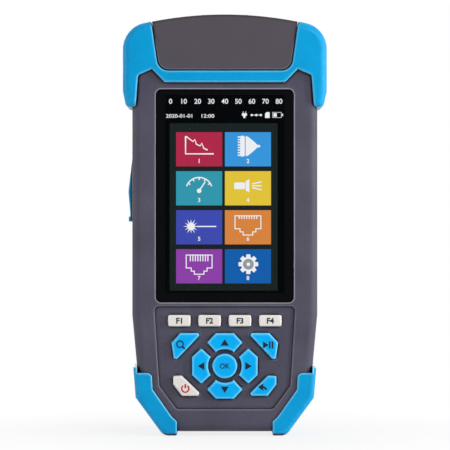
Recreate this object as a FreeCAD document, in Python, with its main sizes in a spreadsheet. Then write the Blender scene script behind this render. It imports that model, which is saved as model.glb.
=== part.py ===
import FreeCAD, Part
import math
import os
import re

import Sketcher
from FreeCAD import Placement, Rotation, Vector

# A hand-held optical time domain reflectometer, for tracing faults in fibre and network cable.
# It stands upright on the two lower bumpers: +X to the user's right, +Y into the instrument's
# back, +Z up, with the origin on the base plane under the middle of the case.
# All sizes are millimetres.

SIZES = {
    # case outline, seen from the front
    "case_half": 44.4,  # half of the width over the grip
    "heel_half": 40.85,  # half of the width where the lower corners start
    "sole_half": 28.7,  # half of the width of the bottom edge
    "sole_z": 1.9,  # the shell's bottom edge, lifted by the bumpers
    "heel_z": 18.8,
    "waist_z": 57.9,  # the sides taper below this height
    "heel_round": 6.0,
    "sole_round": 8.0,
    "crown_z": 199.6,  # top of the arched roof, under the boot
    "crown_radius": 178.0,
    "shoulder_round": 10.0,
    "front_depth": 21.0,  # parting plane to the front face
    "rear_depth": 19.6,  # parting plane to the back face
    "parting_gap": 0.25,
    "front_rim": 4.0,
    "rear_rim": 5.0,
    "wall": 2.4,
    # raised land at the top, framed by the boot
    "land_foot_half": 31.5,
    "land_top_half": 35.9,
    "land_foot_z": 175.1,
    "land_top_z": 205.6,  # where its slanted sides would reach their full width
    "land_edge": 0.4,
    "land_round": 5.5,
    "land_rise": 1.1,
    "saddle_z": 201.6,
    "saddle_inset": 0.3,
    "saddle_radius": 180.0,
    # soft boot over the top corners
    "boot_half": 48.9,
    "boot_depth": 22.6,  # parting plane to the boot's front, and to its back
    "boot_shoulder": 12.8,
    "boot_rim": 3.6,
    "boot_lip": 0.7,
    "boot_gap": 0.3,
    "band_half": 28.8,
    "band_z": 169.2,
    "apex_half": 34.9,
    "apex_z": 175.5,
    "leg_inner_half": 41.5,
    "leg_inner_z": 172.6,
    "leg_tip_inner_half": 42.7,
    "leg_tip_outer_half": 47.3,
    "leg_tip_z": 157.4,
    "leg_outer_z": 165.0,
    "leg_round": 2.0,
    # soft bumpers on the lower corners
    "foot_inner_half": 22.9,
    "foot_inner_z": 6.9,
    "foot_bend_half": 25.4,
    "foot_bend_z": 9.3,
    "foot_knee_half": 34.5,
    "foot_knee_z": 22.2,
    "foot_top_inner_half": 34.9,
    "foot_top_z": 30.1,
    "foot_ear_half": 42.0,
    "foot_ear_z": 32.9,
    "foot_outer_top_half": 43.9,
    "foot_heel_half": 42.75,
    "foot_heel_z": 18.2,
    "foot_toe_half": 29.4,
    "foot_depth": 21.8,
    "foot_rim": 2.4,
    # window, tape and display
    "glass_half": 32.95,
    "glass_foot_z": 63.9,
    "glass_top_z": 165.8,
    "glass_round": 2.6,
    "glass_face": 20.85,
    "glass_thick": 1.0,
    "glass_gap": 0.15,
    "tape_thick": 0.2,
    "tape_width": 2.2,
    "view_half": 30.3,
    "view_foot_z": 67.0,
    "view_top_z": 163.4,
    "panel_half": 31.9,
    "panel_foot_z": 62.6,
    "panel_top_z": 166.2,
    "panel_face": 18.6,
    "panel_thick": 3.4,
    "active_half": 28.1,
    "active_foot_z": 68.9,
    "active_top_z": 162.5,
    # keypad
    "well_top_half": 33.7,
    "well_top_z": 61.9,
    "well_side_half": 31.3,
    "well_side_z": 23.8,
    "well_foot_half": 23.1,
    "well_foot_z": 12.8,
    "well_round": 2.2,
    "well_depth": 0.9,
    "well_rim": 0.6,
    "key_face": 21.75,
    "key_gap": 0.28,
    "key_edge": 0.5,
    "key_base": 17.5,
    "key_ear": 0.9,
    "key_ear_thick": 0.8,
    "key_stem": 1.9,
    "key_stem_base": 14.2,
    "soft_key_half_x": 5.35,
    "soft_key_half_z": 2.7,
    "soft_key_pitch": 14.55,
    "soft_key_z": 55.1,
    "soft_key_round": 0.9,
    "pad_z": 33.4,  # centre of the round key
    "round_key": 5.9,
    "arrow_bow": 8.05,
    "arrow_inner": 6.2,
    "arrow_inner_half": 3.74,
    "arrow_wide": 11.25,
    "arrow_wide_half": 8.46,
    "arrow_outer": 15.7,
    "arrow_outer_half": 4.3,
    "mat_face": 16.1,
    "key_board_face": 13.0,
    "board_thick": 1.6,
    "mat_half": 30.4,
    "mat_foot_half": 22.0,
    "mat_foot_z": 12.0,
    "mat_side_z": 24.0,
    "mat_top_z": 60.6,
    "main_board_face": 9.0,
    "main_board_half": 30.4,
    "main_board_wide": 38.5,
    "main_board_foot_z": 20.0,
    "main_board_top_z": 176.0,
    # screws that clamp the two shells
    "upper_screw_half": 37.0,
    "upper_screw_z": 163.0,
    "lower_screw_half": 34.9,
    "lower_screw_z": 44.0,
    "post_radius": 4.0,
    "screw_radius": 1.25,
    "screw_pilot": 1.3,
    "screw_hole": 1.6,
    "screw_head": 2.6,
    "screw_head_tall": 2.2,
    "screw_well": 2.85,
    "screw_seat": 11.8,
    "screw_reach": 8.0,
    # battery bay, its door and the two cells
    "bay_half": 19.8,
    "bay_foot_z": 39.6,
    "bay_top_z": 110.4,
    "bay_wall": 1.8,
    "bay_floor": 2.8,
    "door_half": 23.0,
    "door_foot_z": 36.0,
    "door_top_z": 116.0,
    "door_thick": 1.8,
    "door_round": 3.0,
    "door_gap": 0.15,
    "door_screw_half": 15.0,
    "door_screw_z": 113.2,
    "cell_radius": 9.2,
    "cell_tall": 65.0,
    "cell_foot_z": 42.5,
    "cell_y": 6.9,
    # fold-out stand
    "stand_half": 31.0,
    "stand_foot_z": 26.0,
    "stand_bar": 6.3,
    "stand_foot_bar": 9.0,
    "stand_thick": 2.7,
    "stand_round": 6.0,
    "stand_lift": 0.1,
    "hinge_z": 124.0,
    "hinge_y": 20.4,
    "barrel_radius": 2.0,
    "pin_radius": 1.0,
    "pin_bore": 1.05,
    "lug_out_half": 36.0,
    "lug_reach": 1.9,  # the lugs' back, behind the pin
    "lug_in_half": 31.7,
    # connector panel in the roof, and what it holds
    "deck_half": 34.2,
    "deck_depth_half": 12.0,
    "deck_z": 201.3,
    "deck_floor_z": 189.6,
    "deck_gap": 0.2,
    "flange_half": 33.0,
    "flange_depth_half": 13.8,
    "flange_floor_z": 191.5,
    "pocket_half": 17.2,
    "pocket_depth_half": 8.2,
    "pocket_floor_z": 192.6,
    "port_pitch": 11.0,
    "port_radius": 4.0,
    "port_inner": 3.2,
    "port_flange": 5.1,
    "port_flange_tall": 1.3,
    "port_top_z": 198.4,
    "port_foot_z": 184.0,
    "port_cup_z": 190.6,
    "sleeve_radius": 1.65,
    "sleeve_bore": 1.25,
    "sleeve_top_z": 197.6,
    "lid_half": 18.3,
    "lid_front_y": 9.4,
    "lid_back_y": 9.3,
    "lid_z": 201.25,
    "lid_floor_z": 199.3,
    "lid_gap": 0.2,
    "lid_grip_half": 11.6,
    "lid_grip_z": 202.4,
    "lid_hinge_y": 10.6,
    "lid_hinge_z": 200.4,
    "lid_barrel": 1.0,
    "lid_barrel_half": 12.0,
    "lid_pin": 0.5,
    "lid_pin_bore": 0.55,
    "jack_x": 26.2,
    "jack_half_x": 7.4,
    "jack_half_y": 6.6,
    "jack_z": 196.6,
    "jack_foot_z": 178.0,
    "plug_half_x": 5.9,
    "plug_front_y": 4.4,
    "plug_back_y": 2.5,
    "plug_deep": 13.0,
    "latch_half": 3.1,
    "latch_deep": 1.7,
    # socket plate in the left side, and its flap
    "side_gap": 0.2,
    "side_plate_x": 42.0,
    "side_plate_thick": 1.6,
    "side_plate_half_y": 13.0,
    "side_plate_foot_z": 100.0,
    "side_plate_top_z": 137.0,
    "flap_half_y": 10.4,
    "flap_foot_z": 103.0,
    "flap_inner_x": 43.2,
    "flap_hinge_z": 133.6,
    "flap_hinge_x": 43.6,
    "flap_barrel": 0.9,
    "flap_pin": 0.45,
    "flap_pin_bore": 0.5,
    "flap_pin_half": 11.6,
    "flap_skin_x": 44.55,
    "flap_bulge_x": 46.5,
    "flap_bulge_z": 117.0,
    "flap_toe_x": 45.6,
    "flap_toe_z": 106.8,
    "flap_tab_x": 46.35,
    "flap_tab_foot_z": 102.6,
    "flap_tab_top_z": 105.0,
    "opening_top_z": 135.0,
    "opening_foot_z": 102.8,
}

doc = FreeCAD.newDocument("reflectometer")
sheet = doc.addObject("Spreadsheet::Sheet", "Sizes")
for row, (alias, size) in enumerate(SIZES.items(), 1):
    sheet.set(f"A{row}", alias)
    sheet.set(f"B{row}", str(size))
    sheet.setAlias(f"B{row}", alias)
doc.recompute()

FRONT = "XZ_Plane"  # sketch x is X, sketch y is Z, and its normal points to the front, -Y
TOP = "XY_Plane"  # sketch x is X, sketch y is Y, and its normal points up
SIDE = "YZ_Plane"  # sketch x is Y, sketch y is Z, and its normal points right, +X
finished = {}  # node name: the document object that is that sub-part


def bound(text):
    """An expression in which each named size is read from the sheet."""
    return re.sub(
        r"[a-z][a-z_]*", lambda w: "Sizes." + w.group() if w.group() in SIZES else w.group(), text
    )


def value(text):
    """The number that an expression on named sizes gives."""
    return float(sheet.evalExpression(bound(text)))


def bind(item, prop, text):
    item.setExpression(prop, bound(text))


def new_body(label):
    body = doc.addObject("PartDesign::Body", label)
    body.Label = label
    finished[label] = body
    return body


def draw_polygon(sketch, corners):
    """Closed outline through corners (x, y) or (x, y, radius), every number an expression."""
    count = len(corners)
    points = [Vector(value(c[0]), value(c[1]), 0) for c in corners]
    begins, ends, turns = [], [], []
    for i, point in enumerate(points):
        back = (points[i - 1] - point).normalize()
        ahead = (points[(i + 1) % count] - point).normalize()
        if len(corners[i]) == 3:
            radius = value(corners[i][2])
            half_angle = back.getAngle(ahead) / 2
            reach = radius / math.tan(half_angle)
            towards = (back + ahead).normalize()
            near = towards * (radius / math.sin(half_angle) - radius)
            ends.append(point + back * reach)
            begins.append(point + ahead * reach)
            turns.append((point + near, radius))
        else:
            ends.append(point)
            begins.append(point)
            turns.append(None)
    sides = range(count)
    edges = [sketch.GeometryCount + i for i in sides]
    outline = [Part.LineSegment(begins[i], ends[(i + 1) % count]) for i in sides]
    rounded = [i for i in sides if turns[i]]
    rules = []
    for i in rounded:
        arc, start = bow(ends[i], turns[i][0], begins[i])
        number = edges[0] + len(outline)
        outline.append(arc)
        rules += [
            (("Tangent", edges[i - 1], 2, number, start), None),
            (("Tangent", edges[i], 1, number, 3 - start), None),
            (("Radius", number, turns[i][1]), corners[i][2]),
        ]
    sketch.addGeometry(outline, False)
    apexes = sketch.GeometryCount
    sketch.addGeometry([Part.Point(points[i]) for i in rounded], True)
    for i, corner in enumerate(corners):
        if turns[i]:
            vertex = (apexes + rounded.index(i), 1)
            rules += [(("PointOnObject", *vertex, edge), None) for edge in (edges[i - 1], edges[i])]
        else:
            vertex = (edges[i], 1)
            rules.append((("Coincident", edges[i - 1], 2, *vertex), None))
        rules.append((("DistanceX", -1, 1, *vertex, points[i].x), corner[0]))
        rules.append((("DistanceY", -1, 1, *vertex, points[i].y), corner[1]))
    constrain(sketch, rules)


def constrain(sketch, rules):
    """Adds rules (constraint terms, expression or None) to a sketch."""
    first = sketch.ConstraintCount
    sketch.addConstraint([Sketcher.Constraint(*terms) for terms, _ in rules])
    for number, (_, text) in enumerate(rules, first):
        if text:
            bind(sketch, f"Constraints[{number}]", text)


def bow(first, middle, last):
    """An anticlockwise arc; says also whether the first point is its start, 1, or its end, 2."""
    clockwise = (middle - first).cross(last - middle).z < 0
    if clockwise:
        first, last = last, first
    circle = Part.Arc(first, middle, last).toShape().Curve
    turn = [math.atan2((p - circle.Center).y, (p - circle.Center).x) for p in (first, last)]
    ring = Part.Circle(circle.Center, Vector(0, 0, 1), circle.Radius)
    return Part.ArcOfCircle(ring, *turn), 2 if clockwise else 1


def draw_circle(sketch, x, y, radius):
    centre = Vector(value(x), value(y), 0)
    ring = sketch.addGeometry(Part.Circle(centre, Vector(0, 0, 1), value(radius)), False)
    rules = [
        (("Radius", ring, value(radius)), radius),
        (("DistanceX", -1, 1, ring, 3, centre.x), x),
        (("DistanceY", -1, 1, ring, 3, centre.y), y),
    ]
    constrain(sketch, rules)


def draw_arch(sketch, radius, crown, half, foot, inner=None):
    """A region under an arch about X = 0, down to a level foot or to an inner, narrower arch."""
    halves = [half, inner[2] if inner else half]
    arches = [(radius, crown)] + ([inner[:2]] if inner else [])
    base = sketch.GeometryCount
    shapes, rules, lows = [], [], []
    for number, (rad, top) in enumerate(arches, base):
        centre_z = value(top) - value(rad)
        reach = value(halves[number - base])
        lows.append(centre_z + math.sqrt(value(rad) ** 2 - reach**2))
        ends = Vector(reach, lows[-1], 0), Vector(0, value(top), 0), Vector(-reach, lows[-1], 0)
        shapes.append(bow(*ends)[0])
        rules += [
            (("Radius", number, value(rad)), rad),
            (("DistanceX", -1, 1, number, 3, 0.0), None),
            (("DistanceY", -1, 1, number, 3, centre_z), f"{top} - ({rad})"),
        ]
    if not inner:
        lows.append(value(foot))
        reach = value(half)
        shapes.append(Part.LineSegment(Vector(reach, lows[1], 0), Vector(-reach, lows[1], 0)))
        rules += [(("DistanceY", -1, 1, base + 1, 1, lows[1]), foot), (("Horizontal", base + 1), None)]
    for side, at, post in ((1, 1, base + 2), (-1, 2, base + 3)):
        ends = [Vector(side * value(reach), low, 0) for reach, low in zip(halves, lows)]
        shapes.append(Part.LineSegment(*ends))
        rules += [
            (("Coincident", post, 1, base, at), None),
            (("Coincident", post, 2, base + 1, at), None),
        ]
        for end, reach in enumerate(halves, 1):
            text = reach if side > 0 else f"-({reach})"
            rules.append((("DistanceX", -1, 1, post, end, side * value(reach)), text))
    sketch.addGeometry(shapes, False)
    constrain(sketch, rules)


def sketch_on(body, name, plane, height, shapes):
    sketch = body.newObject("Sketcher::SketchObject", name)
    role = next(f for f in body.Origin.OriginFeatures if f.Role == plane)
    sketch.AttachmentSupport = [(role, "")]
    sketch.MapMode = "FlatFace"
    bind(sketch, "AttachmentOffset.Base.z", height)
    for shape in shapes:
        if isinstance(shape, list):
            draw_polygon(sketch, shape)
        elif len(shape) == 3:
            draw_circle(sketch, *shape)
        else:
            draw_arch(sketch, *shape)
    return sketch


def pad(body, name, plane, shapes, base, top):
    """Adds material from height base to height top along the plane's normal."""
    feature = body.newObject("PartDesign::Pad", name)
    feature.Profile = sketch_on(body, name + "_sketch", plane, base, shapes)
    bind(feature, "Length", f"({top}) - ({base})")
    return settled(body, feature, 1)


def pocket(body, name, plane, shapes, top, base):
    """Removes material from height top down to height base."""
    feature = body.newObject("PartDesign::Pocket", name)
    feature.Profile = sketch_on(body, name + "_sketch", plane, top, shapes)
    bind(feature, "Length", f"({top}) - ({base})")
    return settled(body, feature, -1)


def settled(body, feature, sense):
    """Recomputes, and stops if the feature failed or changed the volume the wrong way."""
    before = feature.BaseFeature.Shape.Volume if feature.BaseFeature else 0.0
    doc.recompute()
    if "Invalid" in feature.State or "Error" in feature.State:
        raise RuntimeError(f"{body.Label}: {feature.Name} failed")
    if sense * (feature.Shape.Volume - before) <= 1e-6:
        raise RuntimeError(f"{body.Label}: {feature.Name} changed nothing")
    body.Tip = feature
    return feature


def round_edges(body, name, radius, chosen, kind="Fillet"):
    """Rounds the tip's edges for which chosen(edge) holds."""
    base = body.Tip
    names = [f"Edge{i}" for i, e in enumerate(base.Shape.Edges, 1) if chosen(e)]
    if not names:
        raise RuntimeError(f"{body.Label}: {name} found no edge")
    feature = body.newObject("PartDesign::" + kind, name)
    feature.Base = (base, names)
    bind(feature, "Radius" if kind == "Fillet" else "Size", radius)
    doc.recompute()
    if "Invalid" in feature.State or not feature.Shape.isValid():
        raise RuntimeError(f"{body.Label}: {name} failed on {len(names)} edges")
    body.Tip = feature
    return feature


def in_plane_y(edge, y):
    box = edge.BoundBox
    return abs(box.YMin - y) < 1e-4 and abs(box.YMax - y) < 1e-4


SLACK = 0.1  # allowed when an edge is found by its place


def along_y(edge):
    box = edge.BoundBox
    return max(box.XLength, box.ZLength) < SLACK / 10 and box.YLength > 1


def mirrored(corners):
    """A right-hand run of corners, then the same corners on the left in reverse order."""
    left = [(f"-({c[0]})", *c[1:]) for c in reversed(corners)]
    return list(corners) + left


def rectangle(x0, x1, y0, y1, radius=None):
    corners = [(x1, y0), (x1, y1), (x0, y1), (x0, y0)]
    return [(*c, radius) if radius else c for c in corners]


def block(name, x, y, z):
    """A Part::Box between pairs of expressions."""
    box = doc.addObject("Part::Box", name)
    for axis, length, (low, high) in zip("xyz", ("Length", "Width", "Height"), (x, y, z)):
        bind(box, length, f"({high}) - ({low})")
        bind(box, "Placement.Base." + axis, low)
    return box


ALONG = {
    "x": Rotation(Vector(0, 1, 0), 90),
    "y": Rotation(Vector(1, 0, 0), -90),
    "z": Rotation(),
}


def rod(name, axis, radius, start, length):
    """A Part::Cylinder from the point start, along an axis."""
    cylinder = doc.addObject("Part::Cylinder", name)
    cylinder.Placement = Placement(Vector(), ALONG[axis])
    bind(cylinder, "Radius", radius)
    bind(cylinder, "Height", length)
    for letter, text in zip("xyz", start):
        bind(cylinder, "Placement.Base." + letter, text)
    return cylinder


def cut(name, base, *tools):
    for i, tool in enumerate(tools):
        result = doc.addObject("Part::Cut", name if tool is tools[-1] else f"{name}_step{i}")
        result.Base, result.Tool = base, tool
        base = result
    return base


def fuse(name, *items):
    result = doc.addObject("Part::MultiFuse", name)
    result.Shapes = list(items)
    return result


def group(name, *items):
    result = doc.addObject("Part::Compound", name)
    result.Links = list(items)
    return result


def keep(name, item):
    item.Label = name
    finished[name] = item
    return item


# ---------------------------------------------------------------- case outline

def case_outline(inset="0"):
    return mirrored(
        [
            (f"sole_half - 0.65 * {inset}", f"sole_z + {inset}", f"sole_round - {inset}"),
            (f"heel_half - {inset}", f"heel_z + 0.2 * {inset}", f"heel_round - {inset}"),
            (f"case_half - {inset}", "waist_z"),
            (f"case_half - {inset}", "crown_z + 4"),
        ]
    )


def case_block(body, side, depth, rim):
    """Half of the case as a solid: side 1 is the front half, and -1 the rear half."""
    near, far = ("parting_gap", depth) if side > 0 else (f"-({depth})", "-parting_gap")
    pad(body, "outline", FRONT, [case_outline()], near, far)
    trim_roof(body, "roof", "crown_radius", "crown_z", near, far)
    round_edges(
        body, "shoulders", "shoulder_round", lambda e: along_y(e) and e.CenterOfMass.z > 180
    )
    face = -side * value(depth)
    round_edges(body, "rim", rim, lambda e: in_plane_y(e, face))


CUTTER_HALF = 60  # the arch cutter reaches past both sides of the case
CUTTER_RISE = 20  # and this far above its crown


def trim_roof(body, name, radius, crown, near, far):
    """Cuts the flat top of a block to an arch."""
    feature = body.newObject("PartDesign::Pocket", name)
    sketch = sketch_on(body, name + "_sketch", FRONT, far, [])
    centre_z = value(crown) - value(radius)
    rest = centre_z + math.sqrt(value(radius) ** 2 - CUTTER_HALF**2)
    high = value(crown) + CUTTER_RISE
    left, right = -CUTTER_HALF, CUTTER_HALF
    arc, start = bow(Vector(left, rest, 0), Vector(0, value(crown), 0), Vector(right, rest, 0))
    corners = [Vector(*c, 0) for c in ((left, rest), (left, high), (right, high), (right, rest))]
    sketch.addGeometry([arc] + [Part.LineSegment(corners[i], corners[i + 1]) for i in range(3)])
    rules = [
        (("Radius", 0, value(radius)), radius),
        (("DistanceX", -1, 1, 0, 3, 0.0), None),
        (("DistanceY", -1, 1, 0, 3, centre_z), f"{crown} - ({radius})"),
        (("Coincident", 1, 1, 0, start), None),
        (("Coincident", 3, 2, 0, 3 - start), None),
        (("Coincident", 1, 2, 2, 1), None),
        (("Coincident", 2, 2, 3, 1), None),
        (("Vertical", 1), None),
        (("Vertical", 3), None),
        (("Horizontal", 2), None),
        (("DistanceX", -1, 1, 1, 1, float(left)), None),
        (("DistanceX", -1, 1, 3, 1, float(right)), None),
        (("DistanceY", -1, 1, 1, 2, high), f"{crown} + {CUTTER_RISE}"),
    ]
    constrain(sketch, rules)
    feature.Profile = sketch
    bind(feature, "Length", f"({far}) - ({near})")
    settled(body, feature, -1)


def hollow(body, wall):
    """Leaves a wall of one thickness, open at the parting plane."""
    base = body.Tip
    open_face = max(
        (f for f in enumerate(base.Shape.Faces, 1) if f[1].BoundBox.YLength < 1e-6),
        key=lambda f: -abs(abs(f[1].CenterOfMass.y) - value("parting_gap")),
    )
    feature = body.newObject("PartDesign::Thickness", "hollow")
    feature.Base = (base, [f"Face{open_face[0]}"])
    feature.Reversed = True
    bind(feature, "Value", wall)
    doc.recompute()
    if "Invalid" in feature.State or not feature.Shape.isValid():
        raise RuntimeError(f"{body.Label}: hollow failed")
    body.Tip = feature


land_outline = mirrored(
    [("land_foot_half", "land_foot_z", "land_round"), ("land_top_half", "land_top_z")]
)


def saddle_side(height):
    """Half of the saddle's width: just inside the land's slanted sides at a height."""
    slope = "(land_top_half - land_foot_half) / (land_top_z - land_foot_z)"
    return f"land_foot_half - saddle_inset + ({height} - land_foot_z) * {slope}"


def add_land(body, side, depth):
    """The raised land that the boot frames, and the saddle that carries it over the roof."""
    inner = f"{depth} - wall"
    outer = f"{depth} + land_rise"
    near, far = (inner, outer) if side > 0 else (f"-({outer})", f"-({inner})")
    pad(body, "land", FRONT, [land_outline], near, far)
    near, far = ("parting_gap", outer) if side > 0 else (f"-({outer})", "-parting_gap")
    under = ("crown_radius - wall", "crown_z - wall", saddle_side("crown_z - wall - 3.3"))
    roof = ("saddle_radius", "saddle_z + 0.6", saddle_side("saddle_z - 2.9"), "", under)
    pad(body, "saddle", FRONT, [roof], near, far)
    trim_roof(body, "land_roof", "saddle_radius", "saddle_z", near, far)
    face = -side * value(outer)
    round_edges(body, "land_edge", "land_edge", lambda e: in_plane_y(e, face))


screw_places = [
    (f"{side}{half}", height)
    for half, height in (("upper_screw_half", "upper_screw_z"), ("lower_screw_half", "lower_screw_z"))
    for side in ("", "-")
]

# ---------------------------------------------------------------- front shell

front_shell = new_body("front_shell")
case_block(front_shell, 1, "front_depth", "front_rim")
hollow(front_shell, "wall")
add_land(front_shell, 1, "front_depth")
pocket(
    front_shell,
    "window_seat",
    FRONT,
    [
        rectangle(
            "-(glass_half + glass_gap)",
            "glass_half + glass_gap",
            "glass_foot_z - glass_gap",
            "glass_top_z + glass_gap",
            "glass_round",
        )
    ],
    "front_depth",
    "glass_face - glass_thick - tape_thick",
)
pocket(
    front_shell,
    "window",
    FRONT,
    [rectangle("-view_half", "view_half", "view_foot_z", "view_top_z")],
    "front_depth",
    "front_depth - wall - 1",
)
pocket(
    front_shell,
    "key_well",
    FRONT,
    [
        mirrored(
            [
                ("well_foot_half", "well_foot_z", "well_round"),
                ("well_side_half", "well_side_z", "well_round"),
                ("well_top_half", "well_top_z", "well_round"),
            ]
        )
    ],
    "front_depth",
    "front_depth - well_depth",
)
face_y = -value("front_depth")
well_half, well_top = value("well_top_half") + SLACK, value("well_top_z") + SLACK
round_edges(
    front_shell,
    "well_edge",
    "well_rim",
    lambda e: in_plane_y(e, face_y)
    and max(e.BoundBox.XMax, -e.BoundBox.XMin) < well_half
    and e.BoundBox.ZMax < well_top,
)


# ---------------------------------------------------------------- keys

def arrow_outline(gap):
    """An arrow key above the round key: 45 degree sides, and an inner edge bowed round that key."""
    return [
        (f"arrow_inner_half + 0.7 * {gap}", f"pad_z + arrow_inner - 0.7 * {gap}"),
        (f"arrow_wide_half + 1.4 * {gap}", "pad_z + arrow_wide", "0.9"),
        (f"arrow_outer_half + 0.4 * {gap}", f"pad_z + arrow_outer + {gap}", "0.8"),
        (f"-(arrow_outer_half + 0.4 * {gap})", f"pad_z + arrow_outer + {gap}", "0.8"),
        (f"-(arrow_wide_half + 1.4 * {gap})", "pad_z + arrow_wide", "0.9"),
        (f"-(arrow_inner_half + 0.7 * {gap})", f"pad_z + arrow_inner - 0.7 * {gap}"),
    ]


def turned(corners, quarter):
    """Corners turned about the round key's centre by quarter turns, anticlockwise from the front."""
    result = corners
    for _ in range(quarter):
        result = [(f"-({z} - pad_z)", f"pad_z + ({x})", *rest) for x, z, *rest in result]
    return result


def upper_corner_outline(gap, side):
    """A four-sided corner key beside the up arrow, its long edge facing the arrows."""
    corners = [
        (f"-(21.3 + 0.3 * {gap})", f"49.2 + {gap}", "0.7"),
        (f"-(11.0 - 1.8 * {gap})", f"49.2 + {gap}", "1.0"),
        (f"-(24.2 + 0.6 * {gap})", f"35.3 - 1.8 * {gap}", "1.2"),
        (f"-(25.5 + {gap})", f"44.5 + 0.5 * {gap}", "0.9"),
    ]
    return corners if side < 0 else [(f"-({x})", z, r) for x, z, r in corners]


def lower_corner_outline(gap, side):
    """A five-sided corner key beside the down arrow."""
    corners = [
        (f"-(24.7 + {gap})", f"28.75 + {gap}", "1.1"),
        (f"-(20.6 - 0.4 * {gap})", f"28.75 + {gap}", "0.7"),
        (f"-(10.7 - 1.8 * {gap})", f"19.1 - {gap}", "1.1"),
        (f"-(20.5 + 0.5 * {gap})", f"19.1 - {gap}", "0.9"),
        (f"-(24.7 + {gap})", f"24.6 - 0.3 * {gap}", "0.9"),
    ]
    return corners if side < 0 else [(f"-({x})", z, r) for x, z, r in corners]


def soft_key_outline(gap, x):
    return rectangle(
        f"{x} - soft_key_half_x - {gap}",
        f"{x} + soft_key_half_x + {gap}",
        f"soft_key_z - soft_key_half_z - {gap}",
        f"soft_key_z + soft_key_half_z + {gap}",
        "soft_key_round",
    )


SOFT_KEYS = {f"key_f{i + 1}": f"{i - 1.5} * soft_key_pitch" for i in range(4)}
# name: (outline for a gap, the ears' rectangle, the stem's centre)
KEYS = {
    name: (
        lambda gap, x=x: soft_key_outline(gap, x),
        (
            f"{x} - soft_key_half_x - key_ear",
            f"{x} + soft_key_half_x + key_ear",
            "soft_key_z - 1",
            "soft_key_z + 1",
        ),
        (x, "soft_key_z"),
    )
    for name, x in SOFT_KEYS.items()
}
ARROWS = {"key_up": 0, "key_left": 1, "key_down": 2, "key_right": 3}
for name, quarter in ARROWS.items():
    low, high = turned(
        [
            ("-(arrow_wide_half + key_ear)", "pad_z + arrow_wide - 1"),
            ("arrow_wide_half + key_ear", "pad_z + arrow_wide + 1"),
        ],
        quarter,
    )
    stem = turned([("0", "pad_z + arrow_wide")], quarter)[0]
    xs = sorted((low[0], high[0]), key=value)
    zs = sorted((low[1], high[1]), key=value)
    KEYS[name] = (
        lambda gap, quarter=quarter: turned(arrow_outline(gap), quarter),
        (*xs, *zs),
        stem,
    )
for name, outline, side, ear_z, stem in (
    ("key_search", upper_corner_outline, -1, "44.5", ("-20.5", "44.2")),
    ("key_run", upper_corner_outline, 1, "44.5", ("20.5", "44.2")),
    ("key_power", lower_corner_outline, -1, "23.6", ("-20.0", "23.6")),
    ("key_back", lower_corner_outline, 1, "23.6", ("20.0", "23.6")),
):
    inner = "15.5" if outline is upper_corner_outline else "16.6"
    outer = "25.6 + key_ear" if outline is upper_corner_outline else "23.4 + key_ear"
    ears = (f"-({outer})", f"-({inner})") if side < 0 else (inner, outer)
    KEYS[name] = (
        lambda gap, outline=outline, side=side: outline(gap, side),
        (*ears, f"{ear_z} - 0.8", f"{ear_z} + 0.8"),
        stem,
    )

for name, (outline, _, _) in KEYS.items():
    pocket(
        front_shell, name + "_hole", FRONT, [
            outline("key_gap")
        ], "front_depth", "front_depth - wall - 1"
    )
well_floor = "front_depth - well_depth"
pad(
    front_shell,
    "round_key_ring",
    FRONT,
    [("0", "pad_z", "arrow_bow - key_gap"), ("0", "pad_z", "round_key + key_gap - 0.1")],
    "front_depth - wall",
    well_floor,
)
pocket(
    front_shell,
    "key_ok_hole",
    FRONT,
    [("0", "pad_z", "round_key + key_gap")],
    "front_depth",
    "front_depth - wall - 1",
)


def make_key(name, outline, ears, stem, bowed=False):
    """A cap with its retaining ears and its stem, the edge of its face bevelled last."""
    body = new_body(name)
    pad(body, "cap", FRONT, [outline], "key_base", "key_face")
    pad(body, "ears", FRONT, [rectangle(*ears)], "key_base", "key_base + key_ear_thick")
    pad(body, "stem", FRONT, [(*stem, "key_stem")], "key_stem_base", "key_base + key_ear_thick")
    if bowed:
        bow_circle = ("0", "pad_z", "arrow_bow")
        pocket(body, "bow", FRONT, [bow_circle], "key_face + 1", "key_base - 1")
    face = -value("key_face")
    round_edges(body, "edge", "key_edge", lambda e: in_plane_y(e, face), "Chamfer")


for name, (outline, ears, stem) in KEYS.items():
    make_key(name, outline("0"), ears, stem, name in ARROWS)
round_key_ears = ("-(round_key + 0.6)", "round_key + 0.6", "pad_z - 1", "pad_z + 1")
make_key("key_ok", ("0", "pad_z", "round_key"), round_key_ears, ("0", "pad_z"))
stems = [stem for _, _, stem in KEYS.values()] + [("0", "pad_z")]


# ---------------------------------------------------------------- rear shell

rear_shell = new_body("rear_shell")
case_block(rear_shell, -1, "rear_depth", "rear_rim")
hollow(rear_shell, "wall")
add_land(rear_shell, -1, "rear_depth")
bay = rectangle(
    "-(bay_half + bay_wall)", "bay_half + bay_wall", "bay_foot_z - bay_wall", "bay_top_z + bay_wall",
)
bay_space = rectangle("-bay_half", "bay_half", "bay_foot_z", "bay_top_z")
door_seat = rectangle(
    "-(door_half + door_gap)",
    "door_half + door_gap",
    "door_foot_z - door_gap",
    "door_top_z + door_gap",
    "door_round",
)
frame = rectangle("-(door_half + 2.5)", "door_half + 2.5", "door_foot_z - 2.5", "door_top_z + 2.5")
seat_y = "-(rear_depth - door_thick)"
pad(rear_shell, "bay_tub", FRONT, [bay], "-(rear_depth - 1)", "bay_floor + bay_wall")
pad(rear_shell, "door_frame", FRONT, [frame], "-(rear_depth - 1)", "-(rear_depth - 5)")
door_screws_at = [("door_screw_half", "door_screw_z"), ("-door_screw_half", "door_screw_z")]
pad(
    rear_shell,
    "door_bosses",
    FRONT,
    [(*place, "3") for place in door_screws_at],
    "-(rear_depth - 2)",
    "-(rear_depth - 10)",
)
pocket(rear_shell, "door_seat", FRONT, [door_seat], seat_y, "-(rear_depth + 1)")
pocket(rear_shell, "bay_space", FRONT, [bay_space], "bay_floor", "-rear_depth")
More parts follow.
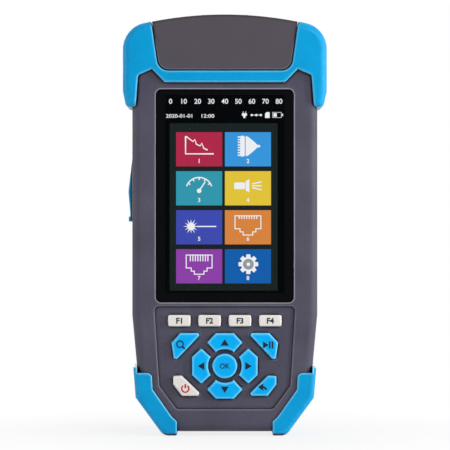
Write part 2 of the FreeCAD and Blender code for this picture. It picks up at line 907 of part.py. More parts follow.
pocket(
    rear_shell,
    "door_screw_holes",
    FRONT,
    [(*place, "1.25") for place in door_screws_at],
    "-(rear_depth - 9)",
    "-rear_depth",
)

# posts for the case screws, in both shells
places = [(*place, "post_radius") for place in screw_places]
pad(front_shell, "posts", FRONT, places, "parting_gap", "front_depth - wall + 0.5")
pad(rear_shell, "posts", FRONT, places, "-(rear_depth - wall + 0.5)", "-parting_gap")
pocket(
    front_shell,
    "pilot_holes",
    FRONT,
    [(*place, "screw_pilot") for place in screw_places],
    "screw_reach + 1",
    "0",
)
pocket(
    rear_shell,
    "screw_holes",
    FRONT,
    [(*place, "screw_hole") for place in screw_places],
    "0",
    "-(rear_depth + 1)",
)
pocket(
    rear_shell,
    "screw_wells",
    FRONT,
    [(*place, "screw_well") for place in screw_places],
    "-screw_seat",
    "-(rear_depth + 1)",
)

# bosses that carry the two boards, in the front shell
key_board_screws = [(f"{s}28.9", "50.4") for s in ("", "-")] + [(f"{s}13.6", "14.6") for s in ("", "-")]
main_board_screws = [(f"{s}35.6", z) for z in ("58", "150") for s in ("", "-")]
inner_face = "front_depth - wall + 0.5"
pad(
    front_shell,
    "key_board_bosses",
    FRONT,
    [(*p, "2") for p in key_board_screws],
    "key_board_face",
    inner_face,
)
pad(
    front_shell,
    "main_board_bosses",
    FRONT,
    [(*p, "2.4") for p in main_board_screws],
    "main_board_face",
    inner_face,
)
for screws, face in ((key_board_screws, "key_board_face"), (main_board_screws, "main_board_face")):
    pocket(
        front_shell,
        "pilots_" + face,
        FRONT,
        [(*p, "1.05") for p in screws],
        face + " + 5",
        face + " - 1",
    )

# the connector panel's opening in the roof, shared by the shells
roof_opening = rectangle(
    "-(deck_half + deck_gap)",
    "deck_half + deck_gap",
    "-(deck_depth_half + deck_gap)",
    "deck_depth_half + deck_gap",
)
for shell in (front_shell, rear_shell):
    pocket(shell, "roof_opening", TOP, [roof_opening], "saddle_z + 2", "flange_floor_z - 6")

# the side opening, in the left wall, with the blind holes of the flap's pin
side_opening = rectangle(
    "-(flap_half_y + side_gap)", "flap_half_y + side_gap", "opening_foot_z", "opening_top_z",
)
for shell, side in ((front_shell, -1), (rear_shell, 1)):
    pocket(shell, "side_opening", SIDE, [side_opening], "-(case_half - wall - 0.5)", "-(case_half + 1)")
    low, high = ("-flap_pin_half", "-flap_half_y") if side < 0 else ("flap_half_y", "flap_pin_half")
    pocket(
        shell,
        "flap_pin_hole",
        FRONT,
        [("-flap_hinge_x", "flap_hinge_z", "flap_pin_bore")],
        f"-({low})",
        f"-({high})",
    )

# hinge of the stand: notches, and lugs outside the legs
notch_floor = "-(hinge_y - barrel_radius - 0.2)"
notches = [
    rectangle(*xs, "hinge_z - barrel_radius - 0.6", "hinge_z + barrel_radius + 0.6")
    for xs in (
        ("stand_half - stand_bar - 0.5", "lug_out_half"),
        ("-lug_out_half", "-(stand_half - stand_bar - 0.5)"),
    )
]
pocket(rear_shell, "hinge_notches", FRONT, notches, notch_floor, "-(rear_depth + 1)")
lugs = [
    rectangle(*xs, "hinge_z - barrel_radius - 0.6", "hinge_z + barrel_radius + 0.6")
    for xs in (("lug_in_half", "lug_out_half"), ("-lug_out_half", "-lug_in_half"))
]
pad(rear_shell, "hinge_lugs", FRONT, lugs, "-(hinge_y + lug_reach)", "-(rear_depth - 2)")
for side, ends in (
    ("right", ("lug_out_half - 0.8", "lug_in_half - 0.1")),
    ("left", ("-(lug_in_half - 0.1)", "-(lug_out_half - 0.8)")),
):
    pocket(rear_shell, side + "_hinge_hole", SIDE, [("hinge_y", "hinge_z", "pin_bore")], *ends)
lug_back = value("hinge_y + lug_reach")
round_edges(
    rear_shell,
    "lug_edges",
    "0.8",
    lambda e: in_plane_y(e, lug_back) and e.BoundBox.XLength > 3,
)
pocket(
    rear_shell,
    "finger_notch",
    FRONT,
    [rectangle("-11", "11", "stand_foot_z - 7", "stand_foot_z + 3", "3")],
    "-(rear_depth - 1.2)",
    "-(rear_depth + 1)",
)

# ---------------------------------------------------------------- seal between the shells

case_seal = new_body("case_seal")
pad(case_seal, "ring", FRONT, [case_outline("0.6")], "-parting_gap", "parting_gap")
trim_roof(case_seal, "roof", "crown_radius - 0.6", "crown_z - 0.6", "-parting_gap", "parting_gap")
round_edges(
    case_seal,
    "shoulders",
    "shoulder_round - 0.6",
    lambda e: e.CenterOfMass.z > 180 and e.BoundBox.YLength > 0.3 and e.BoundBox.XLength < 0.01,
)
core = doc.addObject("PartDesign::Body", "seal_core")
pad(core, "core", FRONT, [case_outline("1.9")], "-(parting_gap + 1)", "parting_gap + 1")
trim_roof(
    core, "core_roof", "crown_radius - 1.9", "crown_z - 1.9", "-(parting_gap + 1)", "parting_gap + 1",
)
round_edges(
    core, "core_shoulders", "shoulder_round - 1.9", lambda e: along_y(e) and e.CenterOfMass.z > 180,
)
case_seal.Label = "seal_outline"
keep(
    "case_seal",
    cut(
        "case_seal_ring",
        case_seal,
        core,
        block(
            "seal_roof",
            ("-(deck_half + deck_gap)", "deck_half + deck_gap"),
            ("-2", "2"),
            ("180", "210"),
        ),
        block("seal_side", ("-50", "-30"), ("-2", "2"), ("opening_foot_z", "opening_top_z")),
    ),
)

# ---------------------------------------------------------------- soft boot and lower bumpers

envelope = doc.addObject("PartDesign::Body", "case_envelope")
pad(envelope, "outline", FRONT, [case_outline()], "-rear_depth", "front_depth")
trim_roof(envelope, "roof", "crown_radius", "crown_z", "-rear_depth", "front_depth")
round_edges(envelope, "shoulders", "shoulder_round", lambda e: along_y(e) and e.CenterOfMass.z > 180)
for name, rim, face in (("front", "front_rim", "-front_depth"), ("rear", "rear_rim", "rear_depth")):
    round_edges(envelope, name, rim, lambda e, face=face: in_plane_y(e, value(face)))


def bumper(name, corners, depth, rim, outside, opening=None):
    """A soft moulding round the case: its silhouette through the whole depth, less the case."""
    body = doc.addObject("PartDesign::Body", name + "_blank")
    pad(body, "outline", FRONT, [corners], f"-({depth})", depth)
    if opening:
        trim_roof(body, "roof", "saddle_radius", "saddle_z + 0.4", f"-({depth})", depth)
        round_edges(
            body, "shoulders", "boot_shoulder", lambda e: along_y(e) and e.CenterOfMass.z > 180
        )
    faces = {"front": -value(depth), "rear": value(depth)}
    for side, face in faces.items():
        round_edges(body, side + "_rim", rim, lambda e: in_plane_y(e, face) and outside(e))
    if opening:
        pocket(body, "opening", FRONT, [opening], depth, f"-({depth})")
    for side, face in faces.items():
        round_edges(body, side + "_lip", "boot_lip", lambda e: in_plane_y(e, face))
    return keep(name, cut(name + "_cut", body, envelope))


def outer_shoulder(edge):
    """The boot's own outside, from the ends of its legs up and over the corners."""
    box = edge.BoundBox
    far_out = max(abs(box.XMax), abs(box.XMin)) > value("boot_half - 3")
    return far_out and box.ZMax > value("leg_tip_z") + SLACK


HEEL_SLOPE = 1.4  # a line between a foot's inner and outer edges, rising this steeply


def outer_heel(edge):
    """A foot's outside: the toe and slant under the sole's line, and the upright ear."""
    box, middle = edge.BoundBox, edge.CenterOfMass
    under = middle.z < (abs(middle.x) - value("foot_inner_half")) * HEEL_SLOPE
    low = box.ZMin < value("foot_heel_z") + SLACK
    upright = box.ZLength > value("foot_top_z - foot_heel_z")
    return (low and under) or (upright and min(abs(box.XMin), abs(box.XMax)) > value("foot_ear_half"))


boot = mirrored(
    [
        ("band_half", "band_z"),
        ("apex_half", "apex_z"),
        ("leg_inner_half", "leg_inner_z", "1.5"),
        ("leg_tip_inner_half", "leg_tip_z"),
        ("leg_tip_outer_half", "leg_tip_z", "leg_round"),
        ("boot_half", "leg_outer_z", "8"),
        ("boot_half", "saddle_z + 5"),
    ]
)
bumper(
    "top_bumper",
    boot,
    "boot_depth",
    "boot_rim",
    outer_shoulder,
    mirrored(
        [
            ("land_foot_half + boot_gap", "land_foot_z - boot_gap", "land_round"),
            ("land_top_half + boot_gap", "land_top_z"),
        ]
    ),
)
foot = [
    ("foot_inner_half", "0"),
    ("foot_toe_half", "0", "5.2"),
    ("foot_heel_half", "foot_heel_z", "1.5"),
    ("foot_outer_top_half", "foot_ear_z"),
    ("foot_ear_half", "foot_ear_z"),
    ("foot_ear_half", "foot_top_z"),
    ("foot_top_inner_half", "foot_top_z", "2.4"),
    ("foot_knee_half", "foot_knee_z"),
    ("foot_bend_half", "foot_bend_z"),
    ("foot_inner_half", "foot_inner_z"),
]
for name, sense in (("bottom_bumper_right", ""), ("bottom_bumper_left", "-")):
    corners = [(f"{sense}({x})" if sense else x, *rest) for x, *rest in foot]
    bumper(
        name,
        corners,
        "foot_depth",
        "foot_rim",
        outer_heel,
    )

# ---------------------------------------------------------------- window and display

display_window = new_body("display_window")
pad(
    display_window,
    "pane",
    FRONT,
    [rectangle("-glass_half", "glass_half", "glass_foot_z", "glass_top_z", "glass_round")],
    "glass_face - glass_thick",
    "glass_face",
)
pane_y = -value("glass_face")
round_edges(display_window, "edge", "0.25", lambda e: in_plane_y(e, pane_y), "Chamfer")

window_gasket = new_body("window_gasket")
pad(
    window_gasket,
    "tape",
    FRONT,
    [
        rectangle(
            "-(glass_half - 0.2)",
            "glass_half - 0.2",
            "glass_foot_z + 0.2",
            "glass_top_z - 0.2",
            "glass_round",
        ),
        rectangle(
            "-(glass_half - tape_width)",
            "glass_half - tape_width",
            "glass_foot_z + tape_width",
            "glass_top_z - tape_width",
        ),
    ],
    "glass_face - glass_thick - tape_thick",
    "glass_face - glass_thick",
)

lcd_module = new_body("lcd_module")
pad(
    lcd_module,
    "frame",
    FRONT,
    [rectangle("-panel_half", "panel_half", "panel_foot_z", "panel_top_z")],
    "panel_face - panel_thick",
    "panel_face",
)
pocket(
    lcd_module,
    "active_area",
    FRONT,
    [rectangle("-active_half", "active_half", "active_foot_z", "active_top_z")],
    "panel_face",
    "panel_face - 0.3",
)

lcd_flex = new_body("lcd_flex")
back, board = "-(panel_face - panel_thick)", "-main_board_face"
pad(
    lcd_flex,
    "ribbon",
    SIDE,
    [
        [
            (back, "66"),
            (back, "70"),
            (f"{board} - 0.3", "84"),
            (f"{board} - 0.3", "88"),
            (board, "88"),
            (board, "83.8"),
            (f"{back} + 0.3", "69.8"),
            (f"{back} + 0.3", "66"),
        ]
    ],
    "-11",
    "11",
)

# ---------------------------------------------------------------- keypad sheet and its board

keypad = mirrored(
    [("mat_foot_half", "mat_foot_z"), ("mat_half", "mat_side_z"), ("mat_half", "mat_top_z")]
)
stems = [stem for _, _, stem in KEYS.values()] + [("0", "pad_z")]
keypad_mat = new_body("keypad_mat")
pad(keypad_mat, "sheet", FRONT, [keypad], "key_board_face", "mat_face")
pocket(
    keypad_mat,
    "stem_holes",
    FRONT,
    [(*stem, "key_stem + 0.6") for stem in stems],
    "mat_face",
    "key_board_face",
)
pocket(
    keypad_mat,
    "boss_notches",
    FRONT,
    [(*p, "2.3") for p in key_board_screws],
    "mat_face",
    "key_board_face",
)

keypad_board = new_body("keypad_board")
pad(keypad_board, "board", FRONT, [keypad], "key_board_face - board_thick", "key_board_face")
pocket(
    keypad_board, "screw_holes", FRONT, [(*p, "1.15") for p in key_board_screws],
    "key_board_face", "key_board_face - board_thick",
)


def screw_group(name, places, seat, length, radius, head, head_tall):
    """Identical pan head screws along Y; each head is on the rear side of its seat."""
    screws = []
    for i, (x, z) in enumerate(places):
        shaft = rod(f"{name}_shaft{i}", "y", radius, (x, f"-({seat}) - ({length})", z), length)
        cap = rod(f"{name}_head{i}", "y", head, (x, f"-({seat})", z), head_tall)
        cross = [
            block(
                f"{name}_slot{i}_{j}",
                (f"{x} - {a}", f"{x} + {a}"),
                (f"-({seat}) + 0.5 * {head_tall}", f"-({seat}) + {head_tall} + 1"),
                (f"{z} - {b}", f"{z} + {b}"),
            )
            for j, (a, b) in enumerate(((f"0.6 * {head}", "0.25"), ("0.25", f"0.6 * {head}")))
        ]
        screws.append(cut(f"{name}_{i}", fuse(f"{name}_blank{i}", shaft, cap), *cross))
    return keep(name, group(name + "_set", *screws))


screw_group("keypad_screws", key_board_screws, "key_board_face - board_thick", "5", "1", "1.9", "1.2")
screw_group(
    "case_screws",
    screw_places,
    "-screw_seat",
    "screw_seat + screw_reach",
    "screw_radius",
    "screw_head",
    "screw_head_tall",
)
screw_group(
    "board_screws", main_board_screws, "main_board_face - board_thick", "5.5", "1", "1.9", "1.2",
)
screw_group("door_screws", door_screws_at, "-(rear_depth - 1.1)", "7.7", "1.2", "2.2", "1")

# ---------------------------------------------------------------- main board and what it carries

main_board = new_body("main_board")
pad(
    main_board,
    "board",
    FRONT,
    [
        mirrored(
            [
                ("main_board_half", "main_board_foot_z"),
                ("main_board_half", "50"),
                ("main_board_wide", "53"),
                ("main_board_wide", "156"),
                ("main_board_half", "158.6"),
                ("main_board_half", "main_board_top_z"),
            ]
        )
    ],
    "main_board_face - board_thick",
    "main_board_face",
)
pocket(
    main_board, "screw_holes", FRONT, [(*p, "1.15") for p in main_board_screws],
    "main_board_face", "main_board_face - board_thick",
)
rear_side = "-(main_board_face - board_thick)"
chips = [
    block(
        f"chip{i}",
        (x, f"{x} + {w}"),
        ("-main_board_face - " + t, "-main_board_face"),
        (z, f"{z} + {h}"),
    )
    for i, (x, w, z, h, t) in enumerate(
        (
            ("-8", "16", "112", "16", "1.4"),
            ("12", "11", "116", "13", "1.1"),
            ("-24", "12", "108", "9", "1.1"),
            ("-22", "9", "132", "9", "1.0"),
            ("14", "8", "138", "12", "1.6"),
            ("-10", "14", "144", "10", "1.2"),
            ("-26", "7", "92", "7", "1.0"),
        )
    )
]
keep("board_chips", group("board_chips_set", *chips))
laser_can = block("laser_can", ("-24", "-6"), (rear_side, f"{rear_side} + 7"), ("120", "142"))
laser_nose = rod("laser_nose", "z", "1.6", ("-15", f"{rear_side} + 3.5", "141"), "7")
keep("laser_module", fuse("laser_set", laser_can, laser_nose))
detector_can = block(
    "detector_can", ("6", "22"), (rear_side, f"{rear_side} + 6"), ("122", "140")
)
detector_nose = rod("detector_nose", "z", "1.4", ("14", f"{rear_side} + 3", "139"), "6")
keep("detector_module", fuse("detector_set", detector_can, detector_nose))
buzzer_can = rod("buzzer_can", "y", "4.5", ("-25", rear_side, "165"), "5")
buzzer_port = rod("buzzer_port", "y", "1", ("-25", f"{rear_side} + 4", "165"), "2")
keep("buzzer", cut("buzzer_cup", buzzer_can, buzzer_port))
spool_y = "rear_depth - wall - 7"
keep(
    "fibre_spool",
    cut(
        "spool_channel",
        rod("spool_disc", "y", "25", ("0", spool_y, "149"), "7"),
        rod("spool_eye", "y", "17", ("0", f"{spool_y} - 1", "149"), "9"),
        cut(
            "spool_groove",
            rod("groove_out", "y", "26", ("0", f"{spool_y} + 1", "149"), "5"),
            rod("groove_in", "y", "20", ("0", f"{spool_y} + 0.5", "149"), "6"),
        ),
    ),
)
coil = cut(
    "coil_ring",
    rod("coil_out", "y", "24.4", ("0", f"{spool_y} + 1.2", "149"), "4.6"),
    rod("coil_in", "y", "20.2", ("0", f"{spool_y} + 1", "149"), "5"),
)
keep("fibre_coil", coil)

# ---------------------------------------------------------------- connector panel and ports

connector_panel = new_body("connector_panel")
deck_arch = ("saddle_radius", "deck_z", "deck_half", "deck_floor_z")
flange_arch = ("crown_radius - wall", "crown_z - wall", "flange_half", "flange_floor_z")
pad(connector_panel, "deck", FRONT, [deck_arch], "-deck_depth_half", "deck_depth_half")
pad(connector_panel, "flange", FRONT, [flange_arch], "-flange_depth_half", "flange_depth_half")
lid_seat = rectangle(
    "-(lid_half + lid_gap)", "lid_half + lid_gap", "-(lid_front_y + lid_gap)", "lid_back_y + 0.1",
)
pocket(connector_panel, "lid_seat", TOP, [lid_seat], "deck_z + 1", "lid_floor_z - 0.1")
knuckle_gap = rectangle(
    "-(lid_barrel_half + lid_gap)", "lid_barrel_half + lid_gap", "lid_back_y - 1", "deck_depth_half + 2",
)
pocket(connector_panel, "knuckle_gap", TOP, [knuckle_gap], "deck_z + 1", "lid_floor_z - 0.1")
pocket(
    connector_panel, "lid_pin_hole", SIDE, [("lid_hinge_y", "lid_hinge_z", "lid_pin_bore - 0.02")],
    "lid_barrel_half + 3.2", "-(lid_barrel_half + 3.2)",
)
well = rectangle("-pocket_half", "pocket_half", "-pocket_depth_half", "pocket_depth_half", "2")
pocket(connector_panel, "port_well", TOP, [well], "deck_z + 1", "pocket_floor_z")
ports = {"otdr_port": "-port_pitch", "power_port": "0", "visual_port": "port_pitch"}
pocket(
    connector_panel, "port_holes", TOP, [(x, "0", "port_radius + 0.05") for x in ports.values()],
    "deck_z + 1", "deck_floor_z - 1",
)
jacks = {"rj45_jack_left": "-jack_x", "rj45_jack_right": "jack_x"}
for name, x in jacks.items():
    housing = rectangle(
        f"{x} - jack_half_x", f"{x} + jack_half_x", "-jack_half_y", "jack_half_y"
    )
    mouth = rectangle(
        f"{x} - plug_half_x - 0.3",
        f"{x} + plug_half_x + 0.3",
        "-(plug_front_y + 0.3)",
        "plug_back_y + latch_deep + 0.3",
    )
    pocket(connector_panel, name + "_housing", TOP, [housing], "jack_z", "deck_floor_z - 3")
    pocket(connector_panel, name + "_mouth", TOP, [mouth], "deck_z + 1", "jack_z - 1")

for name, x in ports.items():
    body = new_body(name)
    pad(body, "barrel", TOP, [(x, "0", "port_radius")], "port_foot_z", "port_top_z")
    pad(
        body,
        "flange",
        TOP,
        [(x, "0", "port_flange")],
        "pocket_floor_z",
        "pocket_floor_z + port_flange_tall",
    )
    pocket(body, "cup", TOP, [(x, "0", "port_inner")], "port_top_z + 1", "port_cup_z")
    pad(body, "sleeve", TOP, [(x, "0", "sleeve_radius")], "port_cup_z - 1", "sleeve_top_z")
    pocket(body, "bore", TOP, [(x, "0", "sleeve_bore")], "sleeve_top_z + 1", "port_cup_z")
    rim_z = value("port_top_z")
    round_edges(body, "lead_in", "0.3", lambda e: abs(e.BoundBox.ZMax - rim_z) < 1e-4, "Chamfer")

for name, x in jacks.items():
    body = new_body(name)
    shell = rectangle(f"{x} - jack_half_x", f"{x} + jack_half_x", "-jack_half_y", "jack_half_y")
    pad(body, "shield", TOP, [shell], "jack_foot_z", "jack_z")
    mouth = rectangle(f"{x} - plug_half_x", f"{x} + plug_half_x", "-plug_front_y", "plug_back_y")
    latch = rectangle(
        f"{x} - latch_half", f"{x} + latch_half", "plug_back_y - 1", "plug_back_y + latch_deep",
    )
    pocket(body, "mouth", TOP, [mouth], "jack_z + 1", "jack_z - plug_deep")
    pocket(body, "latch_way", TOP, [latch], "jack_z + 1", "jack_z - plug_deep + 2")

wires = [
    block(
        f"wire{i}_{side}",
        (f"{side}jack_x + {(i - 3.5) * 1.02} - 0.2", f"{side}jack_x + {(i - 3.5) * 1.02} + 0.2"),
        ("-plug_front_y", "-plug_front_y + 0.5"),
        ("jack_z - 10", "jack_z - 2.5"),
    )
    for side in ("", "-")
    for i in range(8)
]
keep("jack_contacts", group("jack_contacts_set", *wires))

# dust cover over the ports, hinged at the rear
dust_cover = new_body("dust_cover")
lid_arch = ("saddle_radius", "lid_z", "lid_half", "lid_floor_z")
pad(dust_cover, "plate", FRONT, [lid_arch], "-lid_back_y + 0.1", "lid_front_y")
grip = rectangle("-lid_grip_half", "lid_grip_half", "-lid_front_y + 0.4", "1.5")
pad(dust_cover, "grip", TOP, [grip], "lid_z - 1.2", "lid_grip_z")
grip_z = value("lid_grip_z")
round_edges(dust_cover, "grip_edge", "0.8", lambda e: abs(e.BoundBox.ZMin - grip_z) < 1e-4)
pad(
    dust_cover,
    "hinge_web",
    TOP,
    [rectangle("-lid_barrel_half", "lid_barrel_half", "lid_back_y - 2", "lid_hinge_y")],
    "lid_floor_z + 0.1",
    "lid_hinge_z",
)
pad(
    dust_cover,
    "barrel",
    SIDE,
    [("lid_hinge_y", "lid_hinge_z", "lid_barrel")],
    "-lid_barrel_half",
    "lid_barrel_half",
)
pocket(
    dust_cover, "pin_hole", SIDE, [("lid_hinge_y", "lid_hinge_z", "lid_pin_bore")],
    "lid_barrel_half + 1", "-(lid_barrel_half + 1)",
)
keep(
    "dust_cover_pin",
    rod(
        "cover_pin",
        "x",
        "lid_pin",
        ("-(lid_barrel_half + 3)", "lid_hinge_y", "lid_hinge_z"),
        "2 * lid_barrel_half + 6",
    ),
)

# ---------------------------------------------------------------- side sockets and their flap

side_plate = new_body("side_port_panel")
plate = rectangle("-side_plate_half_y", "side_plate_half_y", "side_plate_foot_z", "side_plate_top_z")
pad(side_plate, "plate", SIDE, [plate], "-side_plate_x", "-(side_plate_x - side_plate_thick)")
sockets = {
    "usb_socket": (("-2.8", "2.8"), ("113.8", "127.2"), "12"),
    "card_socket": (("5.6", "7.4"), ("113", "125"), "11"),
}
for name, (ys, zs, deep) in sockets.items():
    low = [f"{ys[0]} - 0.4", f"{ys[1]} + 0.4", f"{zs[0]} - 0.4", f"{zs[1]} + 0.4"]
    pocket(side_plate, name + "_hole", SIDE, [rectangle(*low)], "-30", "-(side_plate_x + 1)")
pocket(side_plate, "power_hole", SIDE, [("0", "108.4", "3.72")], "-30", "-(side_plate_x + 1)")
for name, (ys, zs, deep) in sockets.items():
    body = new_body(name)
    outer = rectangle(f"{ys[0]} - 0.4", f"{ys[1]} + 0.4", f"{zs[0]} - 0.4", f"{zs[1]} + 0.4")
    pad(body, "shield", SIDE, [outer], "-(side_plate_x - 0.2)", f"-(side_plate_x - {deep})")
    pocket(
        body,
        "mouth",
        SIDE,
        [rectangle(*ys, *zs)],
        f"-(side_plate_x - {deep} + 1)",
        "-(side_plate_x + 1)",
    )
    if name == "usb_socket":
        tongue = rectangle("-1", "0.9", "114.6", "126.4")
        pad(body, "tongue", SIDE, [tongue], "-(side_plate_x - 1)", f"-(side_plate_x - {deep} + 0.5)")
power_socket = new_body("power_socket")
pad(
    power_socket,
    "barrel",
    SIDE,
    [("0", "108.4", "3.7")],
    "-(side_plate_x - 0.2)",
    "-(side_plate_x - 10)",
)
pocket(
    power_socket, "mouth", SIDE, [("0", "108.4", "2.8")], "-(side_plate_x - 9)", "-(side_plate_x + 1)",
)
keep("power_pin", rod("power_pin_rod", "x", "0.8", ("-(side_plate_x - 1)", "0", "108.4"), "8"))

side_flap = new_body("side_flap")
flap = [
    ("-flap_inner_x", "flap_foot_z"),
    ("-flap_inner_x", "flap_hinge_z - 0.6"),
    ("-flap_hinge_x", "flap_hinge_z"),
    ("-flap_skin_x", "flap_hinge_z - 0.2"),
    ("-flap_bulge_x", "flap_bulge_z", "9"),
    ("-flap_toe_x", "flap_toe_z", "1.2"),
    ("-flap_toe_x", "flap_tab_top_z"),
    ("-flap_tab_x", "flap_tab_top_z", "0.4"),
    ("-flap_tab_x", "flap_tab_foot_z", "0.4"),
    ("-(case_half + 0.15)", "flap_tab_foot_z"),
    ("-(case_half + 0.15)", "flap_foot_z"),
]
pad(side_flap, "skin", FRONT, [flap], "-flap_half_y", "flap_half_y")
pad(
    side_flap,
    "barrel",
    FRONT,
    [("-flap_hinge_x", "flap_hinge_z", "flap_barrel")],
    "-flap_half_y",
    "flap_half_y",
)
pocket(
    side_flap,
    "pin_hole",
    FRONT,
    [("-flap_hinge_x", "flap_hinge_z", "flap_pin_bore")],
    "flap_half_y + 1",
    "-(flap_half_y + 1)",
)
keep(
    "side_flap_pin",
    rod(
        "flap_pin",
        "y",
        "flap_pin",
        ("-flap_hinge_x", "-flap_pin_half + 0.1", "flap_hinge_z"),
        "2 * flap_pin_half - 0.2",
    ),
)

# ---------------------------------------------------------------- battery, door and stand

cells = []
for i, x in enumerate(("-(cell_radius + 0.3)", "cell_radius + 0.3")):
    can = rod(f"cell{i}", "z", "cell_radius", (x, "cell_y", "cell_foot_z"), "cell_tall - 1.2")
    tip = rod(f"tip{i}", "z", "0.36 * cell_radius", (x, "cell_y", "cell_foot_z"), "cell_tall")
    cells.append(fuse(f"cell_whole{i}", can, tip))
keep("battery_cells", group("battery_set", *cells))
contacts = []
for i, x in enumerate(("-(cell_radius + 0.3)", "cell_radius + 0.3")):
    for j, (low, high) in enumerate(
        (("bay_foot_z", "cell_foot_z"), ("cell_foot_z + cell_tall", "bay_top_z"))
    ):
        plate_low = low if j == 0 else f"{high} - 0.4"
        plate_part = block(
            f"plate{i}{j}",
            (f"{x} - 6", f"{x} + 6"),
            ("cell_y - 6", "cell_y + 6"),
            (plate_low, f"{plate_low} + 0.4"),
        )
        spring = rod(f"spring{i}{j}", "z", "2.6", (x, "cell_y", low), f"({high}) - ({low})")
        contacts.append(fuse(f"contact{i}{j}", plate_part, spring))
keep("battery_contacts", group("contact_set", *contacts))

battery_door = new_body("battery_door")
door = rectangle("-door_half", "door_half", "door_foot_z", "door_top_z", "door_round")
pad(battery_door, "panel", FRONT, [door], "-rear_depth", "-(rear_depth - door_thick)")
pocket(
    battery_door, "screw_holes", FRONT, [(*p, "1.4") for p in door_screws_at], "0", "-(rear_depth + 1)",
)
pocket(
    battery_door,
    "head_seats",
    FRONT,
    [(*p, "2.35") for p in door_screws_at],
    "-(rear_depth - 1.1)",
    "-(rear_depth + 1)",
)
for i in range(5):
    z = f"{46 + 3 * i}"
    rib = rectangle("-9", "9", f"{z} - 0.6", f"{z} + 0.6", "0.55")
    pad(battery_door, f"grip{i}", FRONT, [rib], "-(rear_depth + 0.6)", "-(rear_depth - 0.5)")

kickstand = new_body("kickstand")
stand = [
    ("stand_half", "stand_foot_z", "stand_round"),
    ("stand_half", "hinge_z"),
    ("stand_half - stand_bar", "hinge_z"),
    ("stand_half - stand_bar", "stand_foot_z + stand_foot_bar", "3"),
    ("-(stand_half - stand_bar)", "stand_foot_z + stand_foot_bar", "3"),
    ("-(stand_half - stand_bar)", "hinge_z"),
    ("-stand_half", "hinge_z"),
    ("-stand_half", "stand_foot_z", "stand_round"),
]
stand_near = "rear_depth + stand_lift"
pad(kickstand, "frame", FRONT, [stand], f"-({stand_near} + stand_thick)", f"-({stand_near})")
for side, low, high in (
    ("right", "stand_half - stand_bar", "stand_half"),
    ("left", "-stand_half", "-(stand_half - stand_bar)"),
):
    pad(kickstand, side + "_barrel", SIDE, [("hinge_y", "hinge_z", "barrel_radius")], low, high)
stand_back = value(f"{stand_near} + stand_thick")
round_edges(kickstand, "edges", "0.7", lambda e: in_plane_y(e, stand_back) and e.CenterOfMass.z < 118)
pocket(
    kickstand,
    "pin_holes",
    SIDE,
    [("hinge_y", "hinge_z", "pin_bore")],
    "stand_half + 1",
    "-(stand_half + 1)",
)
pins = [
    rod(
        f"stand_pin{i}",
        "x",
        "pin_radius",
        (x, "hinge_y", "hinge_z"),
        "lug_out_half - 1 - stand_half + stand_bar",
    )
    for i, x in enumerate(("stand_half - stand_bar", "-(lug_out_half - 1)"))
]
keep("stand_pins", group("stand_pin_set", *pins))

# ---------------------------------------------------------------- checks and export

doc.recompute()
for item in doc.Objects:
    if any(word in item.State for word in ("Invalid", "Error")):
        raise RuntimeError(f"{item.Label}: {item.State}")
os.makedirs("parts", exist_ok=True)
for name, item in finished.items():
    if item.Label != name:
        item.Label = name
    shape = item.Shape
    if shape.isNull() or not shape.isValid() or shape.Volume <= 0:
        raise RuntimeError(f"{name}: no sound shape")
    shape.exportStep(f"parts/{name}.step")
    print(f"{name:22s} {len(shape.Solids):3d} solids {shape.Volume:10.1f} mm3")
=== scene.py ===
import math

import bmesh
import bpy
from mathutils import Matrix, Vector


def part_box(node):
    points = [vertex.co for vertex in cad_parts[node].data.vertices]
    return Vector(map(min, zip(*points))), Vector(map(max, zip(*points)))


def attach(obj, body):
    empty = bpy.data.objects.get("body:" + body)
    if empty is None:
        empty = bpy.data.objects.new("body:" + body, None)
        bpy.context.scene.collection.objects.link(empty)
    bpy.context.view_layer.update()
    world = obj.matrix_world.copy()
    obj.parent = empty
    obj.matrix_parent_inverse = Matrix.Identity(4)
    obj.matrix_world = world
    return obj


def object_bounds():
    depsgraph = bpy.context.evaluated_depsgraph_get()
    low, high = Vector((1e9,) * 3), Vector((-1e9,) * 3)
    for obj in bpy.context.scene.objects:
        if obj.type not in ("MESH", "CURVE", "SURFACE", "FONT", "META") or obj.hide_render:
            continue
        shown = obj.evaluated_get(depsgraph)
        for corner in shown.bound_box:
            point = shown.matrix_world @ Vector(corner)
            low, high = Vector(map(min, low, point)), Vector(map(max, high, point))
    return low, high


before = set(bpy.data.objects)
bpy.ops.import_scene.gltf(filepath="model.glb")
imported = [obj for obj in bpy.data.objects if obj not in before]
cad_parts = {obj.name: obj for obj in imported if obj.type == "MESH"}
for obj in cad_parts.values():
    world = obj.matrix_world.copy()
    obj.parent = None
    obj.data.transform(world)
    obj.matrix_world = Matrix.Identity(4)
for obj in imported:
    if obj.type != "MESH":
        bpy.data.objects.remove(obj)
cad_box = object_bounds()
MM = 0.001

# ---- Studio -------------------------------------------------------------------------------
# A white bench and sweep. Narrow strip lamps at both sides and overhead draw the edges, a soft
# one high at the right lights the front, and one lights the back. The lens is long and level.

scene = bpy.context.scene
scene.view_settings.view_transform = "Standard"

FIELD = 215.1 * MM  # width that the picture covers at the front of the case
LENS_DISTANCE = 1.3
LENS_X, LENS_Z = 0.1 * MM, 100.9 * MM
SENSOR = 36.0
front_plane = cad_box[0][1]
lens = bpy.data.cameras.new("lens")
lens.sensor_width = SENSOR
lens.lens = SENSOR * LENS_DISTANCE / FIELD
lens.clip_end = 20.0
camera = bpy.data.objects.new("camera", lens)
camera.location = (LENS_X, front_plane - LENS_DISTANCE, LENS_Z)
camera.rotation_euler = (math.radians(90), 0, 0)
scene.collection.objects.link(camera)
scene.camera = camera

